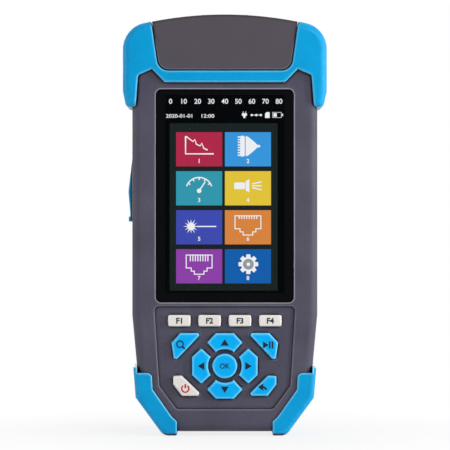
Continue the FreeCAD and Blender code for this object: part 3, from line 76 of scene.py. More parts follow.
LAMP_AIM = Vector((0, 0, 0.1))
for name, place, size, watts in (
    ("strip_right", (0.85, -0.30, 0.22), (0.10, 0.7), 7.5),
    ("strip_left", (-0.85, -0.22, 0.22), (0.10, 0.7), 3.0),
    ("strip_top", (0.10, -0.10, 1.0), (0.9, 0.10), 1.2),
    ("front", (0.55, -1.05, 0.80), (0.6, 0.3), 6.1),
    ("rear", (-0.2, 1.0, 0.45), (0.9, 0.5), 6.0),
):
    lamp = bpy.data.lights.new(name, "AREA")
    lamp.shape = "RECTANGLE"
    lamp.size, lamp.size_y = size
    lamp.energy = watts
    item = bpy.data.objects.new(name, lamp)
    item.location = place
    item.rotation_euler = (LAMP_AIM - Vector(place)).to_track_quat("-Z", "Y").to_euler()
    scene.collection.objects.link(item)

world = bpy.data.worlds.new("studio")
scene.world = world
world.use_nodes = True
world.node_tree.nodes.clear()


class Signal:
    """One shader socket, on which Python's arithmetic adds Math nodes."""

    def __init__(self, tree, socket):
        self.tree, self.socket = tree, socket

    def math(self, operation, *others):
        node = self.tree.nodes.new("ShaderNodeMath")
        node.operation = operation
        for entry, term in zip(node.inputs, (self, *others)):
            plug(self.tree, entry, term)
        return Signal(self.tree, node.outputs[0])

    def __add__(self, other):
        return self.math("ADD", other)

    def __sub__(self, other):
        return self.math("SUBTRACT", other)

    def __rsub__(self, other):
        return constant(self.tree, other).math("SUBTRACT", self)

    def __mul__(self, other):
        return self.math("MULTIPLY", other)

    def __truediv__(self, other):
        return self.math("DIVIDE", other)

    def __pow__(self, other):
        return self.math("POWER", other)

    def __gt__(self, other):
        return self.math("GREATER_THAN", other)

    def __lt__(self, other):
        return self.math("LESS_THAN", other)

    __radd__ = __add__
    __rmul__ = __mul__

    def clamp(self):
        return self.math("MAXIMUM", 0.0).math("MINIMUM", 1.0)


def constant(tree, number):
    node = tree.nodes.new("ShaderNodeValue")
    node.outputs[0].default_value = number
    return Signal(tree, node.outputs[0])


def plug(tree, entry, term):
    if isinstance(term, Signal):
        tree.links.new(term.socket, entry)
    else:
        entry.default_value = term


def add_node(tree, kind, settings=None, sockets=None, out=0):
    """Any other node: its settings first, then the values or links of its sockets."""
    node = tree.nodes.new("ShaderNode" + kind)
    for name, setting in (settings or {}).items():
        if name == "stops":
            stops = node.color_ramp.elements
            while len(stops) < len(setting):
                stops.new(0.5)
            for stop, (place, color) in zip(stops, setting):
                stop.position, stop.color = place, color
        elif name == "ramp":
            node.color_ramp.interpolation = setting
        else:
            setattr(node, name, setting)
    for name, term in (sockets or {}).items():
        plug(tree, node.inputs[name], term)
    return Signal(tree, node.outputs[out])


def linear(red, green, blue):
    """A display colour, 0 to 255, as the linear colour that a shader takes."""
    parts = [c / 255 for c in (red, green, blue)]
    parts = [c / 12.92 if c <= 0.04045 else ((c + 0.055) / 1.055) ** 2.4 for c in parts]
    return (*parts, 1.0)


def looked_at(tree):
    """1 for a ray that shows a thing, straight or in a reflection, 0 for one that lights it."""
    ray = tree.nodes.new("ShaderNodeLightPath")
    kinds = ("Is Camera Ray", "Is Glossy Ray", "Is Transmission Ray")
    straight, mirrored, through = (Signal(tree, ray.outputs[kind]) for kind in kinds)
    return (straight + mirrored + through).clamp()


sky = world.node_tree
ambient = add_node(sky, "Background", sockets={"Color": (0.9, 0.95, 1.0, 1.0), "Strength": 0.18})
white = add_node(sky, "Background", sockets={"Color": (1.0, 1.0, 1.0, 1.0), "Strength": 1.0})
blend = add_node(sky, "MixShader", sockets={0: looked_at(sky), 1: ambient, 2: white})
sky.links.new(blend.socket, sky.nodes.new("ShaderNodeOutputWorld").inputs[0])

BENCH_HALF = 3.0
BENCH_DROP = 0.2 * MM
corners = [(BENCH_HALF * x, BENCH_HALF * y, 0) for x, y in ((-1, -1), (1, -1), (1, 1), (-1, 1))]
floor_mesh = bpy.data.meshes.new("bench")
floor_mesh.from_pydata(corners, [], [(0, 1, 2, 3)])
bench = bpy.data.objects.new("bench", floor_mesh)
bench.location.z = -BENCH_DROP
scene.collection.objects.link(bench)
bench_paint = bpy.data.materials.new("bench_white")
bench_paint.use_nodes = True
tree = bench_paint.node_tree
tree.nodes.clear()
spot = add_node(tree, "TexCoord", out=3)
far = add_node(tree, "VectorMath", {"operation": "LENGTH"}, {0: spot}, out=1)
paint = add_node(tree, "BsdfDiffuse", sockets={"Color": (0.8, 0.8, 0.8, 1.0)})
glow = add_node(tree, "Emission", sockets={"Color": (1.0, 1.0, 1.0, 1.0), "Strength": 1.0})
# near the instrument the bench takes its shadow, and farther away it runs into the sweep
SHADOW_END, FADE, GLOW_NEAR = 0.05, 0.12, 0.82
faded = ((far - SHADOW_END) / FADE).clamp()
share = looked_at(tree) * (faded * (1 - GLOW_NEAR) + GLOW_NEAR)
blend = add_node(tree, "MixShader", sockets={0: share, 1: paint, 2: glow})
tree.links.new(blend.socket, tree.nodes.new("ShaderNodeOutputMaterial").inputs[0])
bench.data.materials.append(bench_paint)

# ---- Case shells and battery door ---------------------------------------------------------
# Two injection moulded halves of filled ABS and a door of the same plastic, with the fine
# spark-eroded grain of the tool on every outer face. Four screws in deep wells clamp them.


OCCLUSION_SAMPLES = 8


class Finish:
    """A material made of a Principled shader whose varying inputs are expressions."""

    def __init__(self, name, **fixed):
        self.material = bpy.data.materials.new(name)
        self.material.use_nodes = True
        self.tree = self.material.node_tree
        self.shader = self.tree.nodes["Principled BSDF"]
        for key, number in fixed.items():
            self.shader.inputs[key.replace("_", " ")].default_value = number

    def node(self, kind, settings=None, sockets=None, out=0):
        return add_node(self.tree, kind, settings, sockets, out)

    def place(self, x=1.0, y=1.0, z=1.0):
        """Object coordinates in millimetres, stretched along the axes."""
        spot = self.node("TexCoord", out=3)
        scale = (x / MM, y / MM, z / MM)
        return self.node("Mapping", sockets={"Vector": spot, "Scale": scale})

    def noise(self, per_mm, detail=2.0, rough=0.5, where=None):
        sockets = {
            "Vector": where or self.place(),
            "Scale": per_mm,
            "Detail": detail,
            "Roughness": rough,
        }
        return self.node("TexNoise", sockets=sockets)

    def mix(self, share, first, second):
        node = self.tree.nodes.new("ShaderNodeMix")
        node.data_type = "RGBA"
        plug(self.tree, node.inputs["Factor"], share)
        plug(self.tree, node.inputs[6], first)
        plug(self.tree, node.inputs[7], second)
        return Signal(self.tree, node.outputs[2])

    def height(self, axis):
        """One object coordinate in millimetres: 0 across, 1 into the back, 2 up."""
        return self.node("SeparateXYZ", sockets={0: self.place()}, out=axis)

    def hidden(self, reach_mm, **settings):
        """The share of the directions that meet a surface within the reach."""
        settings["samples"] = OCCLUSION_SAMPLES
        sockets = {"Distance": reach_mm * MM}
        return 1 - self.node("AmbientOcclusion", settings, sockets, out=1)

    def edges(self, reach_mm, gain=2.8):
        """1 at the piece's own outer edges, falling to 0 within the reach."""
        return (self.hidden(reach_mm, inside=True, only_local=True) * gain - 0.1).clamp()

    def crevices(self, reach_mm):
        """1 deep in a seam or corner, falling to 0 in the open."""
        return (self.hidden(reach_mm) * 3.4 - 0.2).clamp()

    def set(self, **varying):
        for key, term in varying.items():
            plug(self.tree, self.shader.inputs[key.replace("_", " ")], term)
        return self

    def bump(self, height, depth_mm):
        sockets = {"Height": height, "Distance": depth_mm * MM, "Strength": 1.0}
        return self.set(Normal=self.node("Bump", sockets=sockets))


def dress(finish, *names):
    for name in names:
        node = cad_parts[name]
        node.data.materials.clear()
        node.data.materials.append(finish.material)


def moulded(name, color, light, roughness, grain_per_mm, grain_depth, specular=0.5):
    """Grained plastic or rubber: slow mottling, fine grain, and a sheen that varies a little."""
    finish = Finish(name, Specular_IOR_Level=specular)
    slow = finish.noise(0.05, 3.0)
    grain = finish.noise(grain_per_mm, 2.0, 0.6)
    share = ((slow - 0.5) * 0.9 + (grain - 0.5) * 0.6 + 0.5).clamp()
    finish.tone = finish.mix(share, color, light)
    finish.rough = roughness + (grain - 0.5) * 0.16 + (slow - 0.5) * 0.08
    finish.set(Base_Color=finish.tone, Roughness=finish.rough.clamp())
    finish.bump(grain, grain_depth)
    return finish


def paint_edge_highlight_and_seam_shade(finish, highlight_color, width, gain=2.8, seam_shade_color=None, where=1.0):
    """Painted highlight along the outer edges, made smoother there, and painted shade in the
    seams.
    """
    # painted highlight on the outer edges, then painted shade in the seams
    painted_highlight = finish.edges(width, gain) * where
    if seam_shade_color:
        painted_seam_shade = finish.crevices(1.6)
        painted_highlight = painted_highlight * (1 - 2.5 * painted_seam_shade).clamp()
    tone = finish.mix(painted_highlight, finish.tone, highlight_color)
    if seam_shade_color:
        tone = finish.mix(painted_seam_shade, tone, seam_shade_color)
    finish.set(Base_Color=tone, Roughness=(finish.rough - painted_highlight * 0.12).clamp())
    return finish


shell_plastic = moulded(
    "grained_grey_abs", linear(62, 60, 73), linear(94, 91, 107), 0.46, 1.1, 0.07, specular=0.16
)
# the land over the display is a little warmer, and painted shade darkens the very edge of its
# crown
LAND_Z, CROWN_Z, JOINT_HALF = 172.0, 186.0, 1.2
upward = shell_plastic.height(2)
on_land = ((upward - LAND_Z) / 6.0).clamp()
on_crown = ((upward - CROWN_Z) / 5.0).clamp()
crown_painted_shade = shell_plastic.edges(1.5) * on_crown
for share, color in ((on_land * 0.8, linear(80, 74, 79)), (crown_painted_shade * 0.75, linear(30, 28, 30))):
    shell_plastic.tone = shell_plastic.mix(share, shell_plastic.tone, color)
# the joint between the halves and the crown get no painted edge highlight, and painted shade
# darkens the seams
painted_highlight = (shell_plastic.height(1).math("ABSOLUTE") > JOINT_HALF) * (1 - on_crown)
paint_edge_highlight_and_seam_shade(shell_plastic, linear(162, 158, 174), 0.8, seam_shade_color=linear(10, 9, 20), where=painted_highlight)
dress(shell_plastic, "front_shell", "rear_shell", "battery_door")

# ---- Seal and screws ----------------------------------------------------------------------
# A silicone cord lies between the halves. The screws are zinc plated steel with a cross
# recess, driven from the back into pilot holes in the posts.

silicone = moulded("black_silicone", linear(28, 28, 30), linear(36, 36, 38), 0.6, 1.5, 0.02)
dress(silicone, "case_seal", "window_gasket", "keypad_mat")


def metal(name, color, roughness, brushed=(1.0, 1.0, 1.0)):
    finish = Finish(name, Metallic=1.0)
    streak = finish.noise(3.0, 3.0, where=finish.place(*brushed))
    finish.set(Base_Color=finish.mix(streak, color, [min(c * 1.15, 1.0) for c in color]))
    finish.set(Roughness=(roughness + (streak - 0.5) * 0.2).clamp())
    finish.bump(streak, 0.01)
    return finish


zinc = metal("zinc_plate", (0.50, 0.50, 0.52, 1.0), 0.32)
dress(
    zinc, "case_screws", "board_screws", "keypad_screws", "door_screws",
    "stand_pins", "dust_cover_pin", "side_flap_pin",
)

# ---- Boot and lower bumpers ---------------------------------------------------------------
# Soft blue thermoplastic rubber, moulded in one piece over both top corners and in two over
# the lower ones. Its tool was polished less finely than the case's, so it has a soft sheen.

blue_rubber = moulded(
    "blue_bumper_rubber", linear(0, 142, 201), linear(2, 168, 226), 0.36, 1.4, 0.03, specular=0.12
)
for socket, amount in (
    ("Sheen Weight", 0.35), ("Sheen Roughness", 0.35), ("Sheen Tint", (0.75, 0.93, 1.0, 1.0))
):
    blue_rubber.shader.inputs[socket].default_value = amount
# painted highlight along the boot's edges, and painted shade in its seams
paint_edge_highlight_and_seam_shade(blue_rubber, linear(126, 216, 248), 0.75, 6.0, seam_shade_color=linear(0, 60, 92))
dress(blue_rubber, "top_bumper", "bottom_bumper_left", "bottom_bumper_right", "side_flap")

# ---- Window -------------------------------------------------------------------------------
# A pane of hardened glass with an anti-reflection coat, printed black behind its border, and
# clear over the display. It lies in a seat in the front shell, on a silicone frame.

VIEW_HALF = 28.6
VIEW_LOW, VIEW_HIGH = 68.4, 163.1
CLEARNESS = 0.96
pane = Finish("coated_glass_black_border", Roughness=0.06, IOR=1.12)
smears = pane.noise(0.06, 3.0)
pane.set(Base_Color=pane.mix(smears, linear(2, 3, 5), linear(7, 8, 12)))
pane_z = pane.height(2)
inside = (pane.height(0).math("ABSOLUTE") < VIEW_HALF) * (pane_z > VIEW_LOW) * (pane_z < VIEW_HIGH)
pane.set(Alpha=1 - inside * CLEARNESS)
dress(pane, "display_window")

# ---- Display ------------------------------------------------------------------------------
# A colour panel in a folded steel frame. Its lit picture is a menu of eight coloured tiles
# with white signs, numbered one to eight, under a line of status signs and a number scale.

frame_steel = metal("folded_steel", (0.42, 0.42, 0.43, 1.0), 0.38, (1.0, 1.0, 0.1))
dress(frame_steel, "lcd_module")
amber_film = Finish("amber_film", Roughness=0.35)
film_grain = amber_film.noise(0.6, 2.0)
amber_film.set(Base_Color=amber_film.mix(film_grain, linear(176, 110, 38), linear(196, 128, 50)))
dress(amber_film, "lcd_flex")

# the picture's layers, from the panel's front towards the eye, in millimetres
panel_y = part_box("lcd_module")[0][1] / MM
ground_y, menu_y, tile_y, sign_y = (panel_y - step for step in (0.10, 0.16, 0.20, 0.26))
FLAT = 0.06
BLACK = (0.0, 0.0, 0.0, 1.0)


def glowing(name):
    """A black surface with the panel's own light behind it."""
    finish = Finish(name, Roughness=0.5, Specular_IOR_Level=0.0, Emission_Strength=1.04)
    return finish.set(Base_Color=BLACK)


def lit(name, color):
    """One colour of light, a little uneven from the panel's mask."""
    finish = glowing(name)
    mask = finish.noise(4.0, 1.0)
    dim = [c * 0.94 for c in color[:3]] + [1.0]
    return finish.set(Emission_Color=finish.mix(mask, dim, color))


def add_piece(name, mesh, finish, body):
    for face in mesh.polygons:
        face.use_smooth = False
    mesh.materials.clear()
    mesh.materials.append(finish.material)
    piece = bpy.data.objects.new(name, mesh)
    scene.collection.objects.link(piece)
    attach(piece, body)
    return piece


def slab(name, outline, front, back, finish, body="instrument"):
    """A flat piece from its outline in X and Z, between two depths, all in millimetres."""
    work = bmesh.new()
    near = [work.verts.new((x * MM, front * MM, z * MM)) for x, z in outline]
    face = work.faces.new(near)
    grown = bmesh.ops.extrude_face_region(work, geom=[face])
    moved = [v for v in grown["geom"] if isinstance(v, bmesh.types.BMVert)]
    bmesh.ops.translate(work, verts=moved, vec=(0, (back - front) * MM, 0))
    bmesh.ops.recalc_face_normals(work, faces=work.faces)
    mesh = bpy.data.meshes.new(name)
    work.to_mesh(mesh)
    work.free()
    return add_piece(name, mesh, finish, body)


def oblong(x0, x1, z0, z1, radius=0.0, steps=4):
    if not radius:
        return [(x0, z0), (x1, z0), (x1, z1), (x0, z1)]
    points = []
    for cx, cz, start in (
        (x1 - radius, z0 + radius, -90),
        (x1 - radius, z1 - radius, 0),
        (x0 + radius, z1 - radius, 90),
        (x0 + radius, z0 + radius, 180),
    ):
        for i in range(steps + 1):
            angle = math.radians(start + 90 * i / steps)
            points.append((cx + radius * math.cos(angle), cz + radius * math.sin(angle)))
    return points


lcd_dark = lit("unlit_panel", linear(6, 8, 11))
menu_dark = lit("menu_ground", linear(30, 38, 37))
lit_white = lit("white_sign", linear(244, 246, 248))
slab("display_ground", oblong(-29.4, 29.4, 67.6, 163.3), ground_y, panel_y - 0.02, lcd_dark)
slab("menu_ground", oblong(-26.4, 25.3, 69.4, 149.7), menu_y, ground_y, menu_dark)


def rows_of_plates():
    """Geometry Nodes: small plates in columns and rows, each numbered in the attribute 'cell'."""
    group = bpy.data.node_groups.new("rows_of_plates", "GeometryNodeTree")
    face = group.interface
    for label, kind, number in (
        ("Columns", "NodeSocketInt", 2),
        ("Rows", "NodeSocketInt", 4),
        ("Pitch X", "NodeSocketFloat", 0.01),
        ("Pitch Z", "NodeSocketFloat", 0.01),
        ("Width", "NodeSocketFloat", 0.01),
        ("Height", "NodeSocketFloat", 0.01),
        ("Thickness", "NodeSocketFloat", 0.0001),
        ("Centre", "NodeSocketVector", (0, 0, 0)),
        ("Finish", "NodeSocketMaterial", None),
    ):
        entry = face.new_socket(label, in_out="INPUT", socket_type=kind)
        if number is not None:
            entry.default_value = number
    face.new_socket("Geometry", in_out="OUTPUT", socket_type="NodeSocketGeometry")
    nodes, links = group.nodes, group.links
    given = nodes.new("NodeGroupInput")

    def scalar(operation, first, second):
        node = nodes.new("ShaderNodeMath")
        node.operation = operation
        for entry, term in zip(node.inputs, (first, second)):
            if isinstance(term, (int, float)):
                entry.default_value = term
            else:
                links.new(term, entry)
        return node.outputs[0]

    grid = nodes.new("GeometryNodeMeshGrid")
    for way, pitch, count in (("X", "Pitch X", "Columns"), ("Y", "Pitch Z", "Rows")):
        steps = scalar("SUBTRACT", given.outputs[count], 1)
        length = scalar("MULTIPLY", given.outputs[pitch], steps)
        links.new(length, grid.inputs["Size " + way])
        links.new(given.outputs[count], grid.inputs["Vertices " + way])
    points = nodes.new("GeometryNodeMeshToPoints")
    links.new(grid.outputs["Mesh"], points.inputs["Mesh"])
    cube = nodes.new("GeometryNodeMeshCube")
    size = nodes.new("ShaderNodeCombineXYZ")
    for entry, measure in zip(size.inputs, ("Width", "Height", "Thickness")):
        links.new(given.outputs[measure], entry)
    links.new(size.outputs[0], cube.inputs["Size"])
    put = nodes.new("GeometryNodeInstanceOnPoints")
    links.new(points.outputs[0], put.inputs["Points"])
    links.new(cube.outputs["Mesh"], put.inputs["Instance"])
    number = nodes.new("GeometryNodeStoreNamedAttribute")
    number.data_type, number.domain = "FLOAT", "INSTANCE"
    number.inputs["Name"].default_value = "cell"
    links.new(put.outputs[0], number.inputs["Geometry"])
    index = nodes.new("GeometryNodeInputIndex")
    links.new(index.outputs[0], number.inputs["Value"])
    real = nodes.new("GeometryNodeRealizeInstances")
    links.new(number.outputs[0], real.inputs[0])
    stand = nodes.new("GeometryNodeTransform")
    stand.inputs["Rotation"].default_value = (math.radians(90), 0, 0)
    links.new(real.outputs[0], stand.inputs["Geometry"])
    links.new(given.outputs["Centre"], stand.inputs["Translation"])
    paint = nodes.new("GeometryNodeSetMaterial")
    links.new(stand.outputs[0], paint.inputs["Geometry"])
    links.new(given.outputs["Finish"], paint.inputs["Material"])
    links.new(paint.outputs[0], nodes.new("NodeGroupOutput").inputs[0])
    return group


plate_rows = rows_of_plates()


def plates(name, finish, columns, rows, pitch, size, centre):
    """Runs the plate tree and keeps its result as a plain mesh. Lengths are in millimetres."""
    seed = bpy.data.objects.new(name + "_seed", bpy.data.meshes.new(name + "_seed"))
    scene.collection.objects.link(seed)
    modifier = seed.modifiers.new("rows", "NODES")
    modifier.node_group = plate_rows
    values = {
        "Columns": columns,
        "Rows": rows,
        "Pitch X": pitch[0] * MM,
        "Pitch Z": pitch[1] * MM,
        "Width": size[0] * MM,
        "Height": size[1] * MM,
        "Thickness": size[2] * MM,
        "Centre": [c * MM for c in centre],
        "Finish": finish.material,
    }
    for item in plate_rows.interface.items_tree:
        if item.in_out == "INPUT":
            modifier[item.identifier] = values[item.name]
    seed.update_tag()
    graph = bpy.context.evaluated_depsgraph_get()
    graph.update()
    mesh = bpy.data.meshes.new_from_object(
        seed.evaluated_get(graph), preserve_all_data_layers=True, depsgraph=graph
    )
    mesh.name = name
    seed.modifiers.remove(modifier)
    bpy.data.objects.remove(seed)
    return add_piece(name, mesh, finish, "instrument")


TILE_COLORS = [  # up the left column, then up the right one
    (146, 68, 173), (66, 79, 181), (54, 157, 180), (181, 44, 78),
    (24, 98, 178), (222, 137, 68), (234, 203, 61), (59, 155, 227),
]
tile_glow = glowing("tile_glow")
cell = tile_glow.node("Attribute", {"attribute_name": "cell"}, out=2)
stops = [(i / 8, linear(*c)) for i, c in enumerate(TILE_COLORS)]
ramp = tile_glow.node("ValToRGB", {"ramp": "CONSTANT", "stops": stops}, {"Fac": (cell + 0.5) / 8})
shade = tile_glow.noise(0.08, 2.0)
tile_glow.set(Emission_Color=tile_glow.mix(0.10 * shade, ramp, BLACK))
TILE_X = (-12.3, 11.1)
TILE_Z = (137.2, 118.5, 99.9, 81.1)
tile_pitch = (TILE_X[1] - TILE_X[0], (TILE_Z[0] - TILE_Z[3]) / 3)
tiles_at = (sum(TILE_X) / 2, tile_y, (TILE_Z[0] + TILE_Z[3]) / 2)
plates("menu_tiles", tile_glow, 2, 4, tile_pitch, (22.1, 16.4, FLAT), tiles_at)


def wires(name, strokes, width, depth, finish, body="instrument", closed=(), flat=0.3):
    """Drawn lines as round strokes pressed flat. Each is a run of (x, z) in millimetres."""
    curve = bpy.data.curves.new(name, "CURVE")
    curve.dimensions = "3D"
    curve.bevel_depth = width / 2 * MM
    curve.bevel_resolution = 1
    curve.use_fill_caps = True
    for number, stroke in enumerate(strokes):
        spline = curve.splines.new("POLY")
        spline.points.add(len(stroke) - 1)
        for point, (x, z) in zip(spline.points, stroke):
            point.co = (x * MM, 0.0, z * MM, 1.0)
        spline.use_cyclic_u = number in closed
    maker = bpy.data.objects.new(name + "_line", curve)
    scene.collection.objects.link(maker)
    graph = bpy.context.evaluated_depsgraph_get()
    mesh = bpy.data.meshes.new_from_object(maker.evaluated_get(graph))
    mesh.name = name
    bpy.data.objects.remove(maker)
    mesh.transform(Matrix.Translation((0, depth * MM, 0)) @ Matrix.Diagonal((1, flat, 1, 1)))
    return add_piece(name, mesh, finish, body)


def arc(cx, cz, radius, start, end, steps=16):
    angles = [math.radians(start + (end - start) * i / steps) for i in range(steps + 1)]
    return [(cx + radius * math.cos(a), cz + radius * math.sin(a)) for a in angles]


def disc(cx, cz, radius, corners):
    return arc(cx, cz, radius, 0, 360 - 360 / corners, corners - 1)


def at(column, row, points):
    return [(TILE_X[column] + x, TILE_Z[row] + z) for x, z in points]


def sign(name, outline, lift=0.0, finish=lit_white, thick=FLAT):
    """A flat lit form on the tiles' front. The lift puts one form in front of another."""
    front = sign_y - FLAT / 2 - lift
    slab(name, outline, front, front + thick, finish)


def strokes_of_light(name, strokes, width=0.7, closed=()):
    wires(name, strokes, width, sign_y, lit_white, closed=closed)


# a falling trace on its two axes
TRACE = [(-6.3, 6.2), (-2.9, 3.7), (-2.1, 4.7), (-1.3, 2.4), (0.5, 1.6), (1.3, 2.9), (2.2, 0.5),
         (4.1, -0.4)]
axes = [(-6.5, 6.3), (-6.5, -2.2), (7.0, -2.2)]
strokes_of_light("sign_trace", [at(0, 0, axes), at(0, 0, TRACE)])
# a comb of events beside a funnel
comb_at = (TILE_X[1] - 4.25, sign_y, TILE_Z[0] + 1.5)
plates("sign_comb", lit_white, 1, 8, (1.5, 1.25), (1.3, 0.62, FLAT), comb_at)
FUNNEL = [(-1.1, -3.4), (0.2, -2.9), (2.9, -0.7), (4.5, 0.9), (4.5, 2.1), (2.9, 3.7), (0.2, 5.9),
          (-1.1, 6.4)]
sign("sign_comb_back", at(1, 0, oblong(-3.7, -1.5, -3.5, 6.5, 0.9)))
sign("sign_funnel", at(1, 0, FUNNEL))
sign("sign_funnel_end", at(1, 0, oblong(4.0, 5.9, 0.9, 2.1, 0.5)))
# a level meter
HUB_Z, DIAL, TICK = -1.2, 6.4, 5.2
meter = [arc(0, HUB_Z, DIAL, 20, 160), [(0, HUB_Z), (2.9, 3.1)]]
for degrees in (35, 62, 90, 118, 145):
    c, s = math.cos(math.radians(degrees)), math.sin(math.radians(degrees))
    meter.append([(TICK * c, HUB_Z + TICK * s), (DIAL * c, HUB_Z + DIAL * s)])
strokes_of_light("sign_meter", [at(0, 1, stroke) for stroke in meter])
sign("sign_meter_hub", at(0, 1, disc(0, HUB_Z, 1.1, 24)), 0.01)
# a lamp with its light
sign("sign_lamp", at(1, 1, oblong(-6.6, -1.4, -0.4, 2.8, 0.5)))
sign("sign_lamp_head", at(1, 1, [(-1.1, -1.0), (0.7, -2.0), (0.7, 4.4), (-1.1, 3.4)]))
rays = [at(1, 1, [(2.0, 1.2 + 0.9 * i), (6.6, 1.2 + 1.9 * i)]) for i in (-1, 0, 1)]
strokes_of_light("sign_lamp_rays", rays, 0.65)
# a burst of light with its beam
BURST, RAYS = (-3.9, 0.3), 12
for number in range(RAYS):
    turn = math.radians(360 / RAYS * number)
    reach = 3.9 if number % 2 == 0 else 3.4
    points = [(1.5 * math.cos(turn + a), 1.5 * math.sin(turn + a)) for a in (-0.22, 0.22)]
    points.append((reach * math.cos(turn), reach * math.sin(turn)))
    outline = at(0, 2, [(BURST[0] + x, BURST[1] + z) for x, z in points])
    sign(f"sign_burst_ray_{number}", outline)
sign("sign_burst_core", at(0, 2, disc(*BURST, 1.75, 24)), 0.01)
strokes_of_light("sign_beam", [at(0, 2, [(-1.0, 0.3), (8.2, 0.3)])], 0.65)
# two jack faces, one with short and one with long contacts
JACK_TOP = 5.4
JACK = [(-6.2, JACK_TOP), (6.2, JACK_TOP), (6.2, -0.8), (3.8, -0.8), (3.8, -2.3), (2.3, -2.3),
        (2.3, -3.8), (-2.3, -3.8), (-2.3, -2.3), (-3.8, -2.3), (-3.8, -0.8), (-6.2, -0.8)]
for column, row, label, pin in ((1, 2, "sign_jack_short", 1.5), (0, 3, "sign_jack_long", 3.0)):
    strokes_of_light(label, [at(column, row, JACK)], 0.75, closed=(0,))
    pins_at = (TILE_X[column], sign_y, TILE_Z[row] + JACK_TOP - pin / 2)
    plates(label + "_pins", lit_white, 8, 1, (1.2, 1.0), (0.5, pin, FLAT), pins_at)
# a gear wheel with a grey hub
GEAR, TEETH = (0.2, 1.0), 8
gear = []
for number in range(TEETH):
    for spread, radius in ((-0.30, 3.5), (-0.20, 4.8), (0.20, 4.8), (0.30, 3.5)):
        angle = math.radians(360 / TEETH * number) + spread
        gear.append((GEAR[0] + radius * math.cos(angle), GEAR[1] + radius * math.sin(angle)))
grey_sign = lit("grey_sign", linear(150, 156, 162))
sign("sign_gear", at(1, 3, gear))
sign("sign_gear_hub", at(1, 3, disc(*GEAR, 2.6, 24)), 0.04, grey_sign, 0.04)
sign("sign_gear_eye", at(1, 3, disc(*GEAR, 0.9, 18)), 0.08, thick=0.04)


def written(
    name, text, x, z, tall, depth, finish, body="instrument", width=None, thick=0.04, bold=0.01
):
    """Plain numerals or key marks, made a mesh before they are put in place."""
    font = bpy.data.curves.new(name, "FONT")
    font.body = text
    font.extrude = 0.5
    font.offset = bold
    maker = bpy.data.objects.new(name + "_type", font)
    scene.collection.objects.link(maker)
    graph = bpy.context.evaluated_depsgraph_get()
    mesh = bpy.data.meshes.new_from_object(maker.evaluated_get(graph))
    mesh.name = name
    bpy.data.objects.remove(maker)
    xs = [v.co.x for v in mesh.vertices]
    ys = [v.co.y for v in mesh.vertices]
    upright = tall / (max(ys) - min(ys))
    along = width / (max(xs) - min(xs)) if width else upright
    centre = Matrix.Translation((-(max(xs) + min(xs)) / 2, -(max(ys) + min(ys)) / 2, 0))
    size = Matrix.Diagonal((along * MM, upright * MM, thick * MM, 1))
    turn = Matrix.Rotation(math.radians(90), 4, "X")
    mesh.transform(Matrix.Translation((x * MM, depth * MM, z * MM)) @ turn @ size @ centre)
    return add_piece(name, mesh, finish, body)


for row in range(4):
    for column in (0, 1):
        number = str(2 * row + column + 1)
        place = (TILE_X[column], TILE_Z[row] - 5.6)
        written(f"tile_number_{number}", number, *place, 2.0, sign_y, lit_white, bold=0.02)

# status line: neutral date and clock figures, then plug, link, card and battery signs
STATUS_Z = 153.2
for name, text, x, width in (
    ("clock_figures", "12:00", -8.1, 6.1), ("date_figures", "2020-01-01", -21.9, 12.6)
):
    written(name, text, x, STATUS_Z, 1.75, sign_y, lit_white, width=width)
strokes_of_light("battery_sign", [oblong(22.9, 27.1, 152.4, 154.9)], 0.28, closed=(0,))
sign("battery_sign_fill", oblong(23.3, 24.9, 152.8, 154.5))
sign("battery_sign_tip", oblong(27.3, 27.9, 153.1, 154.2))
sign("card_sign", [(19.3, 152.2), (21.5, 152.2), (21.5, 155.0), (20.0, 155.0), (19.3, 154.3)])
PLUG = [(8.9, 152.2), (9.9, 152.2), (9.9, 153.0), (10.6, 153.4), (10.6, 154.4), (8.2, 154.4),
        (8.2, 153.4), (8.9, 153.0)]
sign("plug_sign", PLUG)
plug_pins = [[(x, 154.4), (x, 155.3)] for x in (8.8, 10.0)]
strokes_of_light("plug_sign_pins", plug_pins, 0.3)
LINK_Z = 153.6
strokes_of_light("link_sign", [[(12.8, LINK_Z), (17.4, LINK_Z)]], 0.3)
for number, x in enumerate((12.9, 15.1, 17.3)):
    sign(f"link_sign_dot_{number}", disc(x, LINK_Z, 0.55, 12), 0.01)

# title line: the figures of a plain scale
SCALE_LEFT, SCALE_STEP, SCALE_Z = -26.0, 6.5, 160.2
for number in range(9):
    x = SCALE_LEFT + SCALE_STEP * number
    written(f"scale_figure_{number}", str(10 * number), x, SCALE_Z, 2.4, sign_y, lit_white)

# ---- Keys ---------------------------------------------------------------------------------
# Thirteen hard caps, moulded in ivory or blue and pad-printed with one mark each. Each has a
# stem that reaches through the silicone sheet to its contact.

ivory_caps = moulded(
    "ivory_key_plastic", linear(230, 223, 218), linear(241, 235, 229), 0.4, 1.6, 0.015, 0.3
)
# painted highlight along the ivory caps' edges
paint_edge_highlight_and_seam_shade(ivory_caps, linear(253, 250, 245), 0.8)
blue_caps = moulded(
    "blue_key_plastic", linear(0, 170, 244), linear(0, 184, 254), 0.36, 1.6, 0.015, 0.12
)
# painted highlight along the blue caps' edges
paint_edge_highlight_and_seam_shade(blue_caps, linear(140, 228, 255), 1.0, 4.0)
IVORY_KEYS = ("key_f1", "key_f2", "key_f3", "key_f4", "key_power")
BLUE_KEYS = (
    "key_up", "key_down", "key_left", "key_right", "key_ok", "key_search", "key_run", "key_back"
)
dress(ivory_caps, *IVORY_KEYS)
dress(blue_caps, *BLUE_KEYS)


def ink(name, color):
    finish = Finish(name, Roughness=0.55, Specular_IOR_Level=0.25)
    speckle = finish.noise(5.0, 2.0)
    finish.set(Base_Color=finish.mix(speckle, color, [c * 0.85 for c in color[:3]] + [1.0]))
    return finish


